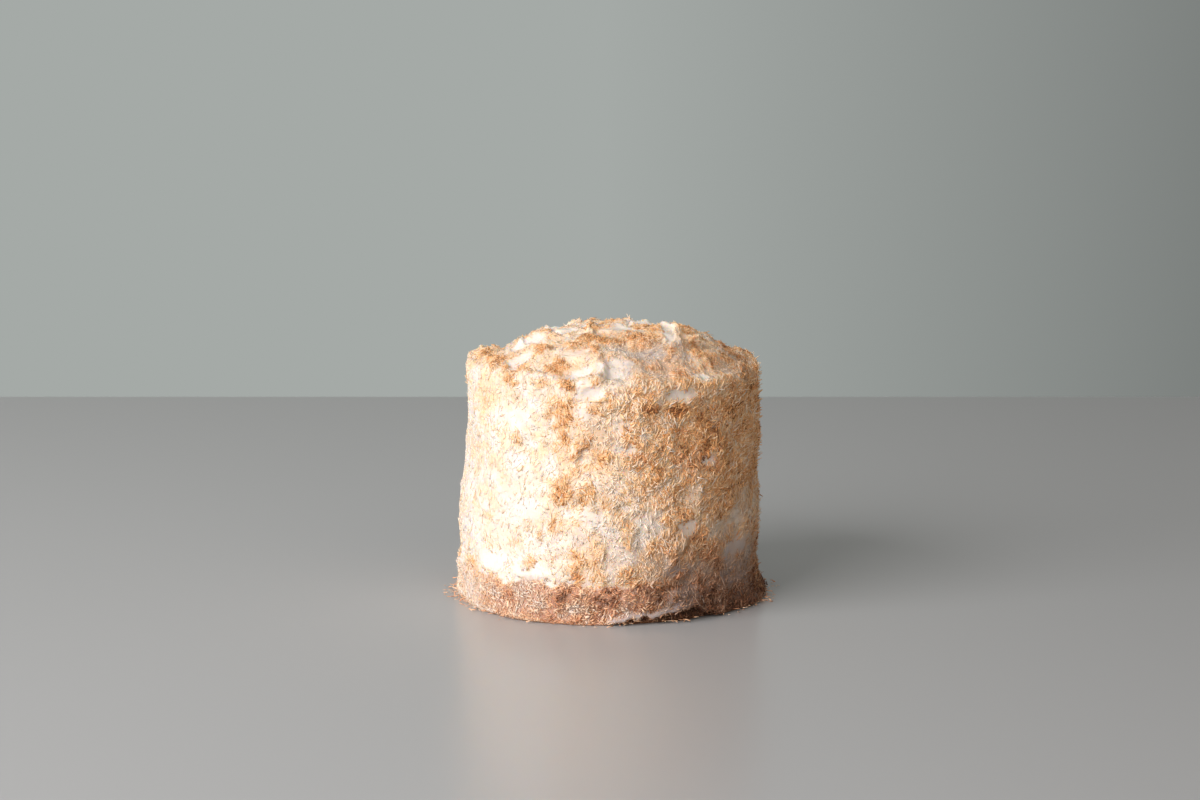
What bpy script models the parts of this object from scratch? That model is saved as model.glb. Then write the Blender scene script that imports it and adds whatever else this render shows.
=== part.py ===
"""A small round celebration cake: white frosting, swirled on top with a palette knife, in a coat of
toasted shredded coconut. The whole cake is one solid with its largest shreds fused on."""

import math
import random

import bpy
import numpy as np
from mathutils import Matrix, Vector
from mathutils.bvhtree import BVHTree

MM = 0.001

# The cake stands on z = 0 with its axis on the origin, and azimuth 0 faces -Y, growing towards +X.
SIDE_RADIUS = 55.1 * MM
SIDE_TAPER = 0.6 * MM
FOOT_OFFSET = -1.3 * MM
LEAN_AT_RIM = 1.9 * MM
RIM_HEIGHT = 86.0 * MM
DOME_HEIGHT = 100.6 * MM
DOME_FALL = 10.0 * MM
DOME_FALL_RADIUS = 47.0 * MM
DOME_POWER = 2.8
SHOULDER = 3.2 * MM

# The coconut pressed on by hand round the foot stands a little proud of the side.
FOOT_BAND_HEIGHT = 13.5 * MM
FOOT_BAND_DEPTH = 1.0 * MM
FOOT_BAND_EDGE = 3.0 * MM
FOOT_CLUMP_AZIMUTH = 82.0
FOOT_CLUMP_SPREAD = 24.0
FOOT_CLUMP_HEIGHT = 8.0 * MM
FOOT_CLUMP_DEPTH = 3.2 * MM

# On the front right the frosting's lower edge is torn, and lifts off a shaded recess.
TEAR_START = 2.0
TEAR_PEAK = 31.0
TEAR_END = 66.0
TEAR_HEIGHT = 7.5 * MM
TEAR_DEPTH = 2.2 * MM
TEAR_EDGE = 2.0 * MM

# The raised curl of frosting on the left of the rim.
RIM_CURL_AZIMUTH = -92.0
RIM_CURL_RADIUS = 49.0 * MM
RIM_CURL_HEIGHT = 3.4 * MM
RIM_CURL_SIZE = (4.2 * MM, 7.5 * MM)

# Each swipe of the knife on top follows an arc: the arc's centre (x, y), radius and width, the azimuths
# where it starts and where the knife lifts off, its level, its tilt towards the arc's centre, and the
# pile left at its end. Lengths are in millimetres, and each swipe is laid over those before it.
SWIPES = (
    (0.0, 0.0, 46.0, 15.0, 150.0, 236.0, -1.0, 0.4, 1.0),
    (0.0, 0.0, 46.5, 14.0, 44.0, 152.0, -0.7, 0.4, 1.5),
    (0.0, 0.0, 45.0, 13.0, -124.0, -58.0, -1.8, -0.6, 1.2),
    (0.0, 0.0, 45.5, 13.0, -8.0, 46.0, -0.9, 1.2, 0.7),
    (0.0, 0.0, 45.0, 13.0, -62.0, -7.5, -0.4, 0.9, 1.8),
    (-3.0, 4.0, 34.0, 13.0, 112.0, 222.0, -0.9, 0.4, 1.4),
    (2.0, 2.0, 33.0, 14.0, 44.0, 118.0, -1.0, 0.8, 1.4),
    (-4.0, 0.0, 32.0, 14.0, -130.0, -48.0, -2.0, 0.7, 1.5),
    (0.0, 2.0, 34.0, 13.0, -60.0, -12.0, -0.2, 0.6, 1.4),
    (-6.0, 14.0, 15.0, 15.0, 60.0, 250.0, -0.6, 0.5, 1.0),
    (-12.0, -2.0, 18.0, 14.0, -150.0, 10.0, -1.4, 0.2, 2.6),
    (-4.0, 8.0, 17.0, 14.0, 10.0, 118.0, -0.4, 0.4, 1.2),
    (-8.0, 4.0, 37.0, 15.0, -24.0, 58.0, 0.4, 0.8, 2.3),
)
SWIPE_EDGE = 1.8
SWIPE_LIP = 0.7

# Unevenness of the whole form: size across, height and seed of each scale of lump.
LUMP_WAVES = 8
SIDE_LUMPS = ((36.0 * MM, 0.6 * MM, 11), (13.0 * MM, 0.25 * MM, 12))
TOP_LUMPS = ((19.0 * MM, 0.45 * MM, 21), (8.0 * MM, 0.25 * MM, 22))
COCONUT_BUMPS = (5.0 * MM, 0.28 * MM, 31)

# How finely the solid is faceted.
COLUMNS = 76
SIDE_ROWS = (
    0.0, 0.03, 0.07, 0.11, 0.15, 0.19, 0.25, 0.31, 0.37, 0.43, 0.49, 0.55, 0.61, 0.67, 0.73, 0.79, 0.85, 0.91, 0.96, 1.0,
)
SHOULDER_STEPS = 2
TOP_RINGS = (
    (48.0, 76), (44.5, 76), (41.0, 76), (37.5, 76), (34.0, 76), (30.5, 57), (27.0, 57),
    (23.5, 57), (20.0, 38), (16.5, 38), (13.0, 38), (9.5, 19), (6.0, 19), (3.0, 19),
)

# The largest coconut shreds, as curved slivers that stand half out of the coat. Each station along one
# is its place and its share of the full width.
SHREDS_ON_SIDE = 176
SHREDS_REACH = 0.97
SHREDS_ON_TOP = 62
SHRED_LENGTH = (4.2 * MM, 7.0 * MM)
SHRED_WIDTH = (0.9 * MM, 1.35 * MM)
SHRED_THICKNESS = (0.55 * MM, 0.8 * MM)
SHRED_BOW = 0.16
SHRED_TILT = (10.0, 34.0)
SHRED_RAISED = 0.25 * MM
SHRED_RAISED_BY_TILT = 0.22
SHRED_STATIONS = ((-0.5, 0.45), (0.0, 1.0), (0.5, 0.5))
SHRED_FLOOR_GAP = 0.6 * MM
GOLDEN_ANGLE = math.radians(137.508)
SEED = 7

FROSTING_COLOUR = (0.86, 0.72, 0.52, 1.0)


def smooth_step(value):
    """0 below 0, 1 above 1, and a smooth rise between."""
    clipped = np.clip(value, 0.0, 1.0)
    return clipped * clipped * (3.0 - 2.0 * clipped)


def turn_between(azimuth, centre):
    """Signed degrees from centre to azimuth, from -180 to 180."""
    return np.mod(azimuth - centre + 180.0, 360.0) - 180.0


def lumps(x, y, z, scale):
    """Smooth unevenness from a few crossed waves, about as high as the scale says."""
    size, height, seed = scale
    draw = np.random.default_rng(seed)
    directions = draw.normal(size=(LUMP_WAVES, 3))
    directions /= np.linalg.norm(directions, axis=1)[:, None]
    pitches = size * draw.uniform(0.75, 1.4, LUMP_WAVES)
    phases = draw.uniform(0.0, math.tau, LUMP_WAVES)
    total = 0.0
    for (dx, dy, dz), pitch, phase in zip(directions, pitches, phases):
        total = total + np.sin(math.tau * (dx * x + dy * y + dz * z) / pitch + phase)
    return height * total / math.sqrt(LUMP_WAVES / 2)


def place(azimuth, radius, height):
    """Cylinder coordinates to x, y and z, with the cake's lean."""
    angle = np.radians(azimuth)
    offset = FOOT_OFFSET + LEAN_AT_RIM * height / RIM_HEIGHT
    return offset + radius * np.sin(angle), -radius * np.cos(angle), height


def dome(radius):
    """Height of the top before it was swiped, which is flat in the middle and falls to the rim."""
    return DOME_HEIGHT - DOME_FALL * (radius / DOME_FALL_RADIUS) ** DOME_POWER


def swiped(height, x, y, radius):
    """The top after every swipe of the knife, each laid over those before it."""
    for centre_x, centre_y, arc_radius, width, start, end, level, tilt, pile in SWIPES:
        off_x, off_y = x / MM - centre_x, y / MM - centre_y
        out = np.hypot(off_x, off_y) - arc_radius
        middle = (start + end) / 2
        turned = turn_between(np.degrees(np.arctan2(off_x, -off_y)), middle)
        along = np.radians(turned) * arc_radius
        reach = math.radians(end - start) * arc_radius / 2
        inside = smooth_step((width / 2 - np.abs(out)) / SWIPE_EDGE + 0.5)
        inside = inside * smooth_step((reach - along) / SWIPE_EDGE + 0.5)
        inside = inside * smooth_step((reach + along) / (4 * SWIPE_EDGE))
        piled = pile * np.clip((along + reach) / (2 * reach), 0.0, 1.0) ** 4
        lip = SWIPE_LIP * np.exp(-(((out - width / 2) / SWIPE_EDGE) ** 2))
        laid = dome(radius) + (level - tilt * out / (width / 2) + piled + lip) * MM
        height = height + (laid - height) * inside
    return height


def top_height(azimuth, radius):
    """Height of the top at any place on it."""
    x, y, _ = place(azimuth, radius, 0.0)
    height = swiped(dome(radius), x, y, radius)
    across = (radius - RIM_CURL_RADIUS) / RIM_CURL_SIZE[0]
    along = np.radians(turn_between(azimuth, RIM_CURL_AZIMUTH)) * radius / RIM_CURL_SIZE[1]
    height = height + RIM_CURL_HEIGHT * np.exp(-(across**2) - along**2)
    for scale in TOP_LUMPS:
        height = height + lumps(x, y, 0.0, scale)
    return height


def tear_height(azimuth):
    """Height of the torn lower edge of the frosting, which is 0 where it isn't torn."""
    rise = smooth_step(turn_between(azimuth, TEAR_START) / (TEAR_PEAK - TEAR_START))
    fall = smooth_step(turn_between(TEAR_END, azimuth) / (TEAR_END - TEAR_PEAK))
    return TEAR_HEIGHT * rise * fall


def side_radius(azimuth, height):
    """Radius of the side at any place on it."""
    x, y, z = place(azimuth, SIDE_RADIUS, height)
    radius = SIDE_RADIUS - SIDE_TAPER * height / RIM_HEIGHT
    for scale in SIDE_LUMPS:
        radius = radius + lumps(x, y, z, scale)
    radius = radius + FOOT_BAND_DEPTH * smooth_step((FOOT_BAND_HEIGHT - height) / FOOT_BAND_EDGE)
    clump = np.exp(-((turn_between(azimuth, FOOT_CLUMP_AZIMUTH) / FOOT_CLUMP_SPREAD) ** 4))
    radius = radius + FOOT_CLUMP_DEPTH * clump * smooth_step(1.0 - height / FOOT_CLUMP_HEIGHT)
    torn = tear_height(azimuth)
    under = smooth_step((torn - height) / TEAR_EDGE) * smooth_step(torn / TEAR_EDGE)
    return radius - TEAR_DEPTH * under


def coconut_bumps(x, y, z):
    """The finest relief, as high as a shred is thick."""
    return lumps(x, y, z, COCONUT_BUMPS)


def side_top(azimuth):
    """The height where the side ends and the shoulder begins."""
    inner = SIDE_RADIUS - SHOULDER
    return top_height(azimuth, inner) - SHOULDER


def ring_points(azimuths, radius, height):
    """One ring of points of the body."""
    x, y, z = place(azimuths, radius, height)
    return [Vector(point) for point in zip(x, y, np.broadcast_to(z, np.shape(x)))]


def azimuths_of(columns):
    return np.arange(columns) * 360.0 / columns


def body_rings():
    """Every ring of the body from the foot, up the side and over the shoulder to the middle of the top."""
    rings = []
    azimuths = azimuths_of(COLUMNS)
    rim = side_top(azimuths)
    for share in SIDE_ROWS:
        height = rim * share
        radius = side_radius(azimuths, height)
        if share > 0.0:
            x, y, z = place(azimuths, radius, height)
            radius = radius + coconut_bumps(x, y, z)
        rings.append(ring_points(azimuths, radius, height))
    edge = side_radius(azimuths, rim)
    for step in range(1, SHOULDER_STEPS + 1):
        angle = math.radians(90.0 * step / (SHOULDER_STEPS + 1))
        radius = edge - SHOULDER * (1.0 - math.cos(angle))
        height = rim + SHOULDER * math.sin(angle)
        rings.append(ring_points(azimuths, radius, height))
    for radius, columns in TOP_RINGS:
        azimuths = azimuths_of(columns)
        height = top_height(azimuths, radius * MM)
        x, y, z = place(azimuths, radius * MM, height)
        rings.append(ring_points(azimuths, radius * MM, height + coconut_bumps(x, y, z)))
    return rings


def stitch(lower, upper):
    """Triangles between two rings of point numbers, which may differ in how many they hold."""
    faces = []
    i = j = 0
    while i < len(lower) or j < len(upper):
        next_lower = (i + 1) / len(lower)
        next_upper = (j + 1) / len(upper)
        a, b = lower[i % len(lower)], upper[j % len(upper)]
        if j == len(upper) or (i < len(lower) and next_lower <= next_upper):
            faces.append((a, lower[(i + 1) % len(lower)], b))
            i += 1
        else:
            faces.append((a, upper[(j + 1) % len(upper)], b))
            j += 1
    return faces


def make_body():
    """The cake without its shreds, as one closed mesh on a flat foot."""
    points, numbered = [], []
    for ring in body_rings():
        numbered.append(range(len(points), len(points) + len(ring)))
        points.extend(ring)
    faces = [tuple(reversed(numbered[0]))]
    for lower, upper in zip(numbered, numbered[1:]):
        faces.extend(stitch(lower, upper))
    points.append(Vector(place(0.0, 0.0, float(top_height(0.0, 0.0)))))
    last = numbered[-1]
    for i in range(len(last)):
        faces.append((last[i], last[(i + 1) % len(last)], len(points) - 1))
    mesh = bpy.data.meshes.new("frosted_cake")
    mesh.from_pydata(points, [], faces)
    body = bpy.data.objects.new("frosted_cake", mesh)
    bpy.context.scene.collection.objects.link(body)
    return body


def shred_mesh(name, length, width, thickness):
    """A curved sliver of coconut along X, widest in the middle, with its hollow side down."""
    corners = ((-0.5, -0.5), (0.5, -0.5), (0.5, 0.5), (-0.5, 0.5))
    points = []
    for along, share in SHRED_STATIONS:
        drop = SHRED_BOW * length * (2 * along) ** 2
        for side, lift in corners:
            points.append((along * length, side * width * share, lift * thickness * share - drop))
    faces = [(3, 2, 1, 0), (8, 9, 10, 11)]
    for ring in (0, 4):
        for corner in range(4):
            following = (corner + 1) % 4
            faces.append((ring + corner, ring + following, ring + following + 4, ring + corner + 4))
    mesh = bpy.data.meshes.new(name)
    mesh.from_pydata(points, [], faces)
    return mesh


def shred_places():
    """(start, direction) of a ray to each shred's place: a golden-angle spiral up the side, then over the top."""
    for i in range(SHREDS_ON_SIDE):
        height = SHREDS_REACH * RIM_HEIGHT * (i + 0.5) / SHREDS_ON_SIDE
        azimuth = math.degrees(GOLDEN_ANGLE) * i
        outside = Vector(place(azimuth, 2 * SIDE_RADIUS, height))
        inside = Vector(place(azimuth, 0.0, height))
        yield outside, (inside - outside).normalized()
    for i in range(SHREDS_ON_TOP):
        radius = (SIDE_RADIUS - SHOULDER) * math.sqrt((i + 0.5) / SHREDS_ON_TOP)
        azimuth = math.degrees(GOLDEN_ANGLE) * (i + SHREDS_ON_SIDE)
        yield Vector(place(azimuth, radius, 2 * DOME_HEIGHT)), Vector((0.0, 0.0, -1.0))


def make_shreds(body, collection):
    """The largest shreds, each half sunk in the coat and tilted out of it."""
    draw = random.Random(SEED)
    surface = BVHTree.FromPolygons([v.co for v in body.data.vertices], [p.vertices for p in body.data.polygons])
    for number, (start, direction) in enumerate(shred_places()):
        spot, normal, _, _ = surface.ray_cast(start, direction)
        length = draw.uniform(*SHRED_LENGTH)
        mesh = shred_mesh(f"shred_{number}", length, draw.uniform(*SHRED_WIDTH), draw.uniform(*SHRED_THICKNESS))
        tilt = math.radians(draw.uniform(*SHRED_TILT))
        spin = draw.uniform(0.0, math.tau)
        turn = normal.to_track_quat("Z", "Y").to_matrix().to_4x4()
        turn = turn @ Matrix.Rotation(spin, 4, "Z") @ Matrix.Rotation(-tilt, 4, "Y")
        raised = SHRED_RAISED + SHRED_RAISED_BY_TILT * length * math.sin(tilt)
        mesh.transform(Matrix.Translation(spot + normal * raised) @ turn)
        if min(v.co.z for v in mesh.vertices) < SHRED_FLOOR_GAP:
            bpy.data.meshes.remove(mesh)
            continue
        collection.objects.link(bpy.data.objects.new(mesh.name, mesh))


def fuse(body, collection):
    """Joins the shreds to the body in one union, and removes them."""
    union = body.modifiers.new("fused_shreds", "BOOLEAN")
    union.operation = "UNION"
    union.operand_type = "COLLECTION"
    union.collection = collection
    union.solver = "MANIFOLD"
    bpy.context.view_layer.update()
    graph = bpy.context.evaluated_depsgraph_get()
    fused = bpy.data.meshes.new_from_object(body.evaluated_get(graph))
    body.modifiers.clear()
    body.data = fused
    for shred in list(collection.objects):
        bpy.data.objects.remove(shred)
    bpy.data.collections.remove(collection)


def finish_of(name, colour, roughness):
    """A plain material of that colour."""
    material = bpy.data.materials.new(name)
    material.use_nodes = True
    shader = material.node_tree.nodes["Principled BSDF"]
    shader.inputs["Base Color"].default_value = colour
    shader.inputs["Roughness"].default_value = roughness
    shader.inputs["Metallic"].default_value = 0.0
    return material


def main():
    for item in list(bpy.data.objects):
        bpy.data.objects.remove(item)
    body = make_body()
    collection = bpy.data.collections.new("coconut_shreds")
    bpy.context.scene.collection.children.link(collection)
    make_shreds(body, collection)
    fuse(body, collection)
    body.data.materials.clear()
    body.data.materials.append(finish_of("coconut_coat", FROSTING_COLOUR, 0.75))


main()
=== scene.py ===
"""Dresses a small frosted cake: frosting swirled with a palette knife, toasted coconut pressed on it by
hand, loose coconut round its foot, and a plain studio. Laid out as an add-on, and run as a script."""

import math

import bpy
import numpy as np
from bpy.props import FloatProperty, FloatVectorProperty, IntProperty, PointerProperty
from mathutils import Euler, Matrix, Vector


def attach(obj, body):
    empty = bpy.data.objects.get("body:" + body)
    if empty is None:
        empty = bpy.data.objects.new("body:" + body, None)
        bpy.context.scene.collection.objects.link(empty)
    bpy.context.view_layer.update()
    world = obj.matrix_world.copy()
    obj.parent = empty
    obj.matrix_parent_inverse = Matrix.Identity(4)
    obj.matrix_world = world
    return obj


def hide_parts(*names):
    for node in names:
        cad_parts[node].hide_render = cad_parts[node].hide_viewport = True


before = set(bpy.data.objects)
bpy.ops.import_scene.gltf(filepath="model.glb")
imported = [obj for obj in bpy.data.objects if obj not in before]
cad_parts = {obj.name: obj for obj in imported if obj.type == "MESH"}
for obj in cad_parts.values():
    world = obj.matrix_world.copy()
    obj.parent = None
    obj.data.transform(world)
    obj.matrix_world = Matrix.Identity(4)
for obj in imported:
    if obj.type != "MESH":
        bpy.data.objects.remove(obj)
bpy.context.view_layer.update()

bl_info = {
    "name": "Coconut Smash Cake",
    "version": (1, 0, 0),
    "blender": (4, 5, 0),
    "location": "View3D > Sidebar > Cake",
    "description": "Dresses a small cake in knife-swirled frosting and toasted coconut, in a plain studio",
    "category": "Object",
}

MM = 0.001
CAKE_NODE = "frosted_cake"
COLUMNS = 480

# Each swipe of the knife on top follows an arc: the arc's centre (x, y), radius and width, the azimuths
# where it starts and where the knife lifts off, its level, its tilt towards the arc's centre, and the
# pile left at its end. Lengths are in millimetres, and each swipe is laid over those before it.
SWIPES = (
    (0.0, 0.0, 46.0, 15.0, 150.0, 236.0, -1.0, 0.4, 1.0),
    (0.0, 0.0, 46.5, 14.0, 44.0, 152.0, -0.7, 0.4, 1.5),
    (0.0, 0.0, 45.0, 13.0, -124.0, -58.0, -1.8, -0.6, 1.2),
    (0.0, 0.0, 45.5, 13.0, -8.0, 46.0, -0.9, 1.2, 0.7),
    (0.0, 0.0, 45.0, 13.0, -62.0, -7.5, -0.6, 0.7, 0.6),
    (-3.0, 4.0, 34.0, 13.0, 112.0, 222.0, -0.9, 0.4, 1.4),
    (2.0, 2.0, 33.0, 14.0, 44.0, 118.0, -1.0, 0.8, 1.4),
    (-4.0, 0.0, 32.0, 14.0, -130.0, -48.0, -2.0, 0.7, 1.5),
    (0.0, 2.0, 34.0, 13.0, -60.0, -12.0, -0.2, 0.6, 1.4),
    (-6.0, 14.0, 15.0, 15.0, 60.0, 250.0, -0.6, 0.5, 1.0),
    (-12.0, -2.0, 18.0, 14.0, -150.0, 10.0, -1.4, 0.2, 2.6),
    (-4.0, 8.0, 17.0, 14.0, 10.0, 118.0, -0.4, 0.4, 1.2),
    (-8.0, 4.0, 37.0, 15.0, -24.0, 58.0, 0.4, 0.8, 2.3),
)

# Folds of frosting that stand where the knife lifted. On top: x, y, the way the crest runs (degrees from
# +X), half its length, its height, and its widths to the left and to the right as the crest runs. On the
# side: azimuth, height, and the way the crest runs from level. A height below zero is a hollow.
FOLDS_ON_TOP = (
    (22.0, -17.0, -87.0, 14.0, 2.1, 1.2, 5.0), (-4.2, -48.0, 92.0, 3.0, 1.5, 2.2, 0.8),
    (-5.4, -41.5, 91.0, 4.5, 0.8, 2.6, 0.8), (-9.5, 2.0, 60.0, 3.0, 1.4, 2.6, 1.2),
    (-30.0, -17.0, 16.0, 9.0, 1.2, 4.0, 1.3), (-17.0, -17.0, 10.0, 8.0, 0.8, 4.0, 1.0),
    (40.5, 2.0, -95.0, 26.0, -1.7, 8.0, 1.2), (47.0, -26.0, -50.0, 6.0, 0.8, 1.2, 3.0),
    (6.3, -45.4, 4.0, 3.4, 1.3, 2.4, 1.0), (15.0, -43.0, 20.0, 6.0, -1.6, 4.0, 4.0),
    (50.5, -17.0, -70.0, 3.0, 1.3, 1.2, 2.4), (2.0, -19.0, 8.0, 8.0, 1.2, 5.0, 1.3),
    (-38.0, -30.0, 40.0, 5.0, 0.9, 3.0, 1.2), (10.0, 16.0, 150.0, 10.0, 1.6, 4.0, 1.2),
    (-20.0, 26.0, -140.0, 9.0, 1.4, 4.0, 1.2), (32.0, 22.0, 120.0, 9.0, 1.3, 4.0, 1.2),
    (4.0, 38.0, 172.0, 8.0, 1.4, 4.0, 1.1), (-40.0, 16.0, -100.0, 7.0, 1.2, 3.4, 1.2),
    (-23.0, 22.0, 90.0, 18.0, -1.6, 4.0, 5.0), (-41.5, 14.0, 90.0, 17.0, -1.8, 2.6, 2.6),
    (15.0, 24.0, 90.0, 16.0, -1.5, 4.0, 4.0), (38.0, 16.0, 90.0, 16.0, -1.6, 4.0, 4.0),
    (46.5, 8.0, 90.0, 15.0, 1.8, 3.0, 3.0), (1.0, -4.0, 4.0, 6.0, 1.2, 4.0, 1.2),
    (-17.0, -7.0, 8.0, 6.0, 1.2, 4.0, 1.2), (-30.0, -10.0, 14.0, 7.0, 1.1, 4.0, 1.2),
)
FOLDS_ON_SIDE = (
    (27.0, 25.5, -125.0, 6.5, 1.3, 1.0, 5.0), (22.0, 12.8, 5.0, 7.0, -1.0, 1.0, 1.5),
    (-28.0, 16.4, 0.0, 11.0, 0.9, 3.4, 0.8), (-51.0, 16.4, -6.0, 6.0, 0.7, 3.0, 0.8),
    (26.0, 75.4, 2.0, 8.0, 0.9, 0.9, 4.0), (13.0, 76.2, -8.0, 5.0, 1.0, 0.9, 4.0),
    (-8.0, 77.6, 0.0, 4.6, 0.6, 0.9, 3.0), (-12.0, 62.0, 62.0, 6.0, 0.9, 2.6, 1.3),
    (-14.0, 47.0, -28.0, 8.0, 0.9, 2.8, 1.2), (35.0, 42.0, 78.0, 10.0, 0.7, 3.0, 1.8),
    (46.0, 58.0, 100.0, 8.0, 0.6, 1.8, 3.0), (62.0, 32.0, 84.0, 9.0, 0.7, 3.0, 2.0),
    (4.0, 30.0, -38.0, 7.0, 0.7, 3.0, 1.4), (-36.0, 44.0, 24.0, 9.0, 0.6, 3.4, 2.0),
    (-46.0, 66.0, 60.0, 8.0, 0.5, 4.0, 2.4), (112.0, 58.0, 30.0, 8.0, 0.9, 3.0, 1.2),
    (135.0, 74.0, 4.0, 9.0, 0.9, 1.0, 4.0), (148.0, 32.0, -24.0, 9.0, 0.8, 3.0, 1.3),
    (180.0, 62.0, 12.0, 9.0, 0.9, 3.0, 1.2), (196.0, 27.0, 0.0, 8.0, 0.8, 3.0, 1.0),
    (208.0, 48.0, 70.0, 7.0, 0.8, 2.4, 1.4), (236.0, 70.0, -20.0, 9.0, 0.8, 3.0, 1.2),
    (250.0, 38.0, 44.0, 8.0, 0.7, 3.0, 1.6), (264.0, 62.0, 76.0, 8.0, 0.6, 3.0, 2.0),
    (28.0, 16.5, 5.0, 7.0, -1.2, 2.6, 3.0),
)

# Places on the side where the knife left bare frosting: azimuth, height, half width, half height and how
# bare it is. Those on top are x, y, half width along x, half width along y and how bare it is.
BARE_ON_SIDE = (
    (-8.0, 82.1, 4.4, 3.1, 1.0), (26.0, 81.2, 7.0, 3.0, 1.0), (-30.0, 18.0, 8.4, 2.6, 0.8),
    (-51.0, 19.6, 6.8, 3.8, 0.85), (-11.0, 75.3, 3.2, 2.9, 0.75), (5.0, 71.6, 3.7, 2.4, 0.6),
    (5.0, 62.4, 4.2, 2.3, 0.85), (30.0, 33.6, 4.8, 3.3, 0.76), (57.0, 22.9, 6.4, 3.0, 0.75),
    (40.0, 56.4, 4.4, 2.4, 0.7), (14.0, 36.6, 6.2, 3.4, 0.35), (33.0, 44.7, 6.2, 2.6, 0.4),
    (25.0, 18.2, 4.6, 2.6, 0.65), (6.0, 25.9, 5.2, 2.4, 0.4), (-39.0, 72.0, 6.0, 4.2, 0.5),
    (-44.0, 43.8, 6.0, 4.0, 0.55), (-31.0, 39.0, 6.4, 3.0, 0.6), (-8.0, 39.0, 3.6, 3.4, 0.55),
    (98.0, 62.0, 7.0, 4.0, 0.85), (124.0, 26.0, 9.0, 3.4, 0.9), (143.0, 79.0, 7.0, 3.6, 0.95),
    (160.0, 52.0, 5.0, 3.4, 0.8), (182.0, 22.0, 9.0, 3.8, 0.95), (196.0, 72.0, 5.6, 3.2, 0.85),
    (212.0, 40.0, 5.0, 4.0, 0.7), (226.0, 81.0, 6.6, 3.2, 0.95), (240.0, 58.0, 4.6, 3.4, 0.75),
    (252.0, 26.0, 6.0, 3.6, 0.85), (172.0, 36.0, 3.8, 3.4, 0.6), (108.0, 44.0, 4.2, 3.6, 0.7),
)
BARE_ON_TOP = (
    (-30.0, -12.0, 7.4, 3.6, 0.9), (-16.5, -9.0, 6.6, 4.0, 0.9), (-9.5, 3.0, 2.6, 3.0, 0.8),
    (2.5, -12.0, 8.6, 7.5, 1.0), (-13.0, -38.0, 5.4, 2.4, 0.6), (1.0, -44.5, 3.4, 2.0, 0.8),
    (-33.4, -30.3, 5.0, 4.4, 0.95), (-10.6, -47.0, 5.4, 2.4, 0.9), (-0.5, -49.0, 3.4, 2.0, 0.8),
    (20.0, -7.0, 2.6, 3.4, 0.95), (6.3, -44.6, 2.6, 1.6, 0.9), (21.4, -24.0, 1.4, 6.5, 0.7),
    (34.8, -41.6, 4.6, 2.4, 1.0), (45.5, -14.0, 4.0, 7.0, 0.5), (50.6, -24.0, 2.6, 4.0, 0.95),
    (46.4, -31.0, 3.0, 2.2, 0.95),
    (-38.0, 2.0, 3.4, 5.4, 0.75), (12.0, 14.0, 8.0, 4.4, 0.9), (-20.0, 23.0, 6.0, 7.0, 0.9),
    (4.0, 35.0, 9.0, 3.6, 0.9), (32.0, 24.0, 4.4, 7.0, 0.85), (-39.0, 17.0, 3.6, 6.4, 0.8),
    (-14.0, 45.0, 7.0, 3.4, 0.95), (22.0, 42.0, 6.0, 3.6, 0.85),
)

# Clusters of toasted coconut, laid out as the bare places are, with how thick they are.
GOLD_ON_SIDE = (
    (-42.0, 85.0, 6.0, 2.6, 0.7), (-28.0, 86.0, 7.0, 2.6, 0.75), (-17.0, 85.6, 3.4, 3.2, 0.95),
    (-25.0, 76.7, 3.4, 4.4, 0.65), (-18.0, 77.3, 3.0, 6.4, 0.85), (-6.0, 77.0, 3.6, 1.8, 0.65),
    (-1.0, 79.0, 2.4, 5.2, 0.85), (-11.0, 64.7, 4.2, 3.0, 0.95), (-14.0, 59.4, 1.8, 2.0, 0.9),
    (-38.0, 64.0, 2.4, 2.6, 0.8), (-20.0, 62.7, 2.8, 3.0, 0.4), (-33.0, 55.3, 3.8, 2.8, 0.4),
    (-47.0, 53.0, 4.2, 2.6, 0.35), (-19.0, 47.3, 4.8, 4.4, 0.95), (-9.0, 45.7, 4.4, 5.4, 0.9),
    (-62.0, 38.8, 1.8, 2.4, 0.5), (-53.0, 35.5, 2.8, 1.6, 0.5), (-28.0, 31.4, 2.2, 4.4, 0.75),
    (-22.0, 34.8, 3.0, 3.4, 0.7), (-39.0, 26.7, 5.0, 4.4, 0.45), (-31.0, 21.8, 2.4, 2.8, 0.8),
    (-12.0, 18.0, 2.2, 3.4, 0.8), (-4.0, 26.2, 1.8, 4.4, 0.65), (-49.0, 12.0, 2.8, 3.4, 0.9),
    (-66.0, 15.0, 9.0, 4.0, 0.5), (8.0, 78.4, 9.4, 6.4, 0.85), (15.0, 64.0, 5.4, 5.4, 0.85),
    (15.0, 52.4, 14.4, 6.4, 0.75), (6.0, 42.8, 2.4, 2.4, 0.8), (13.0, 42.2, 2.8, 2.4, 0.6),
    (27.0, 41.6, 2.8, 3.0, 0.65), (20.0, 28.0, 7.4, 5.6, 1.0), (27.0, 67.0, 7.4, 7.2, 0.9),
    (51.0, 69.6, 16.4, 10.4, 0.75), (48.0, 47.0, 13.4, 5.4, 0.55), (84.0, 5.0, 14.0, 6.0, 1.0),
    (15.0, 36.0, 4.0, 2.6, 0.5), (36.0, 40.0, 5.0, 3.0, 0.5),
)
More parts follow.
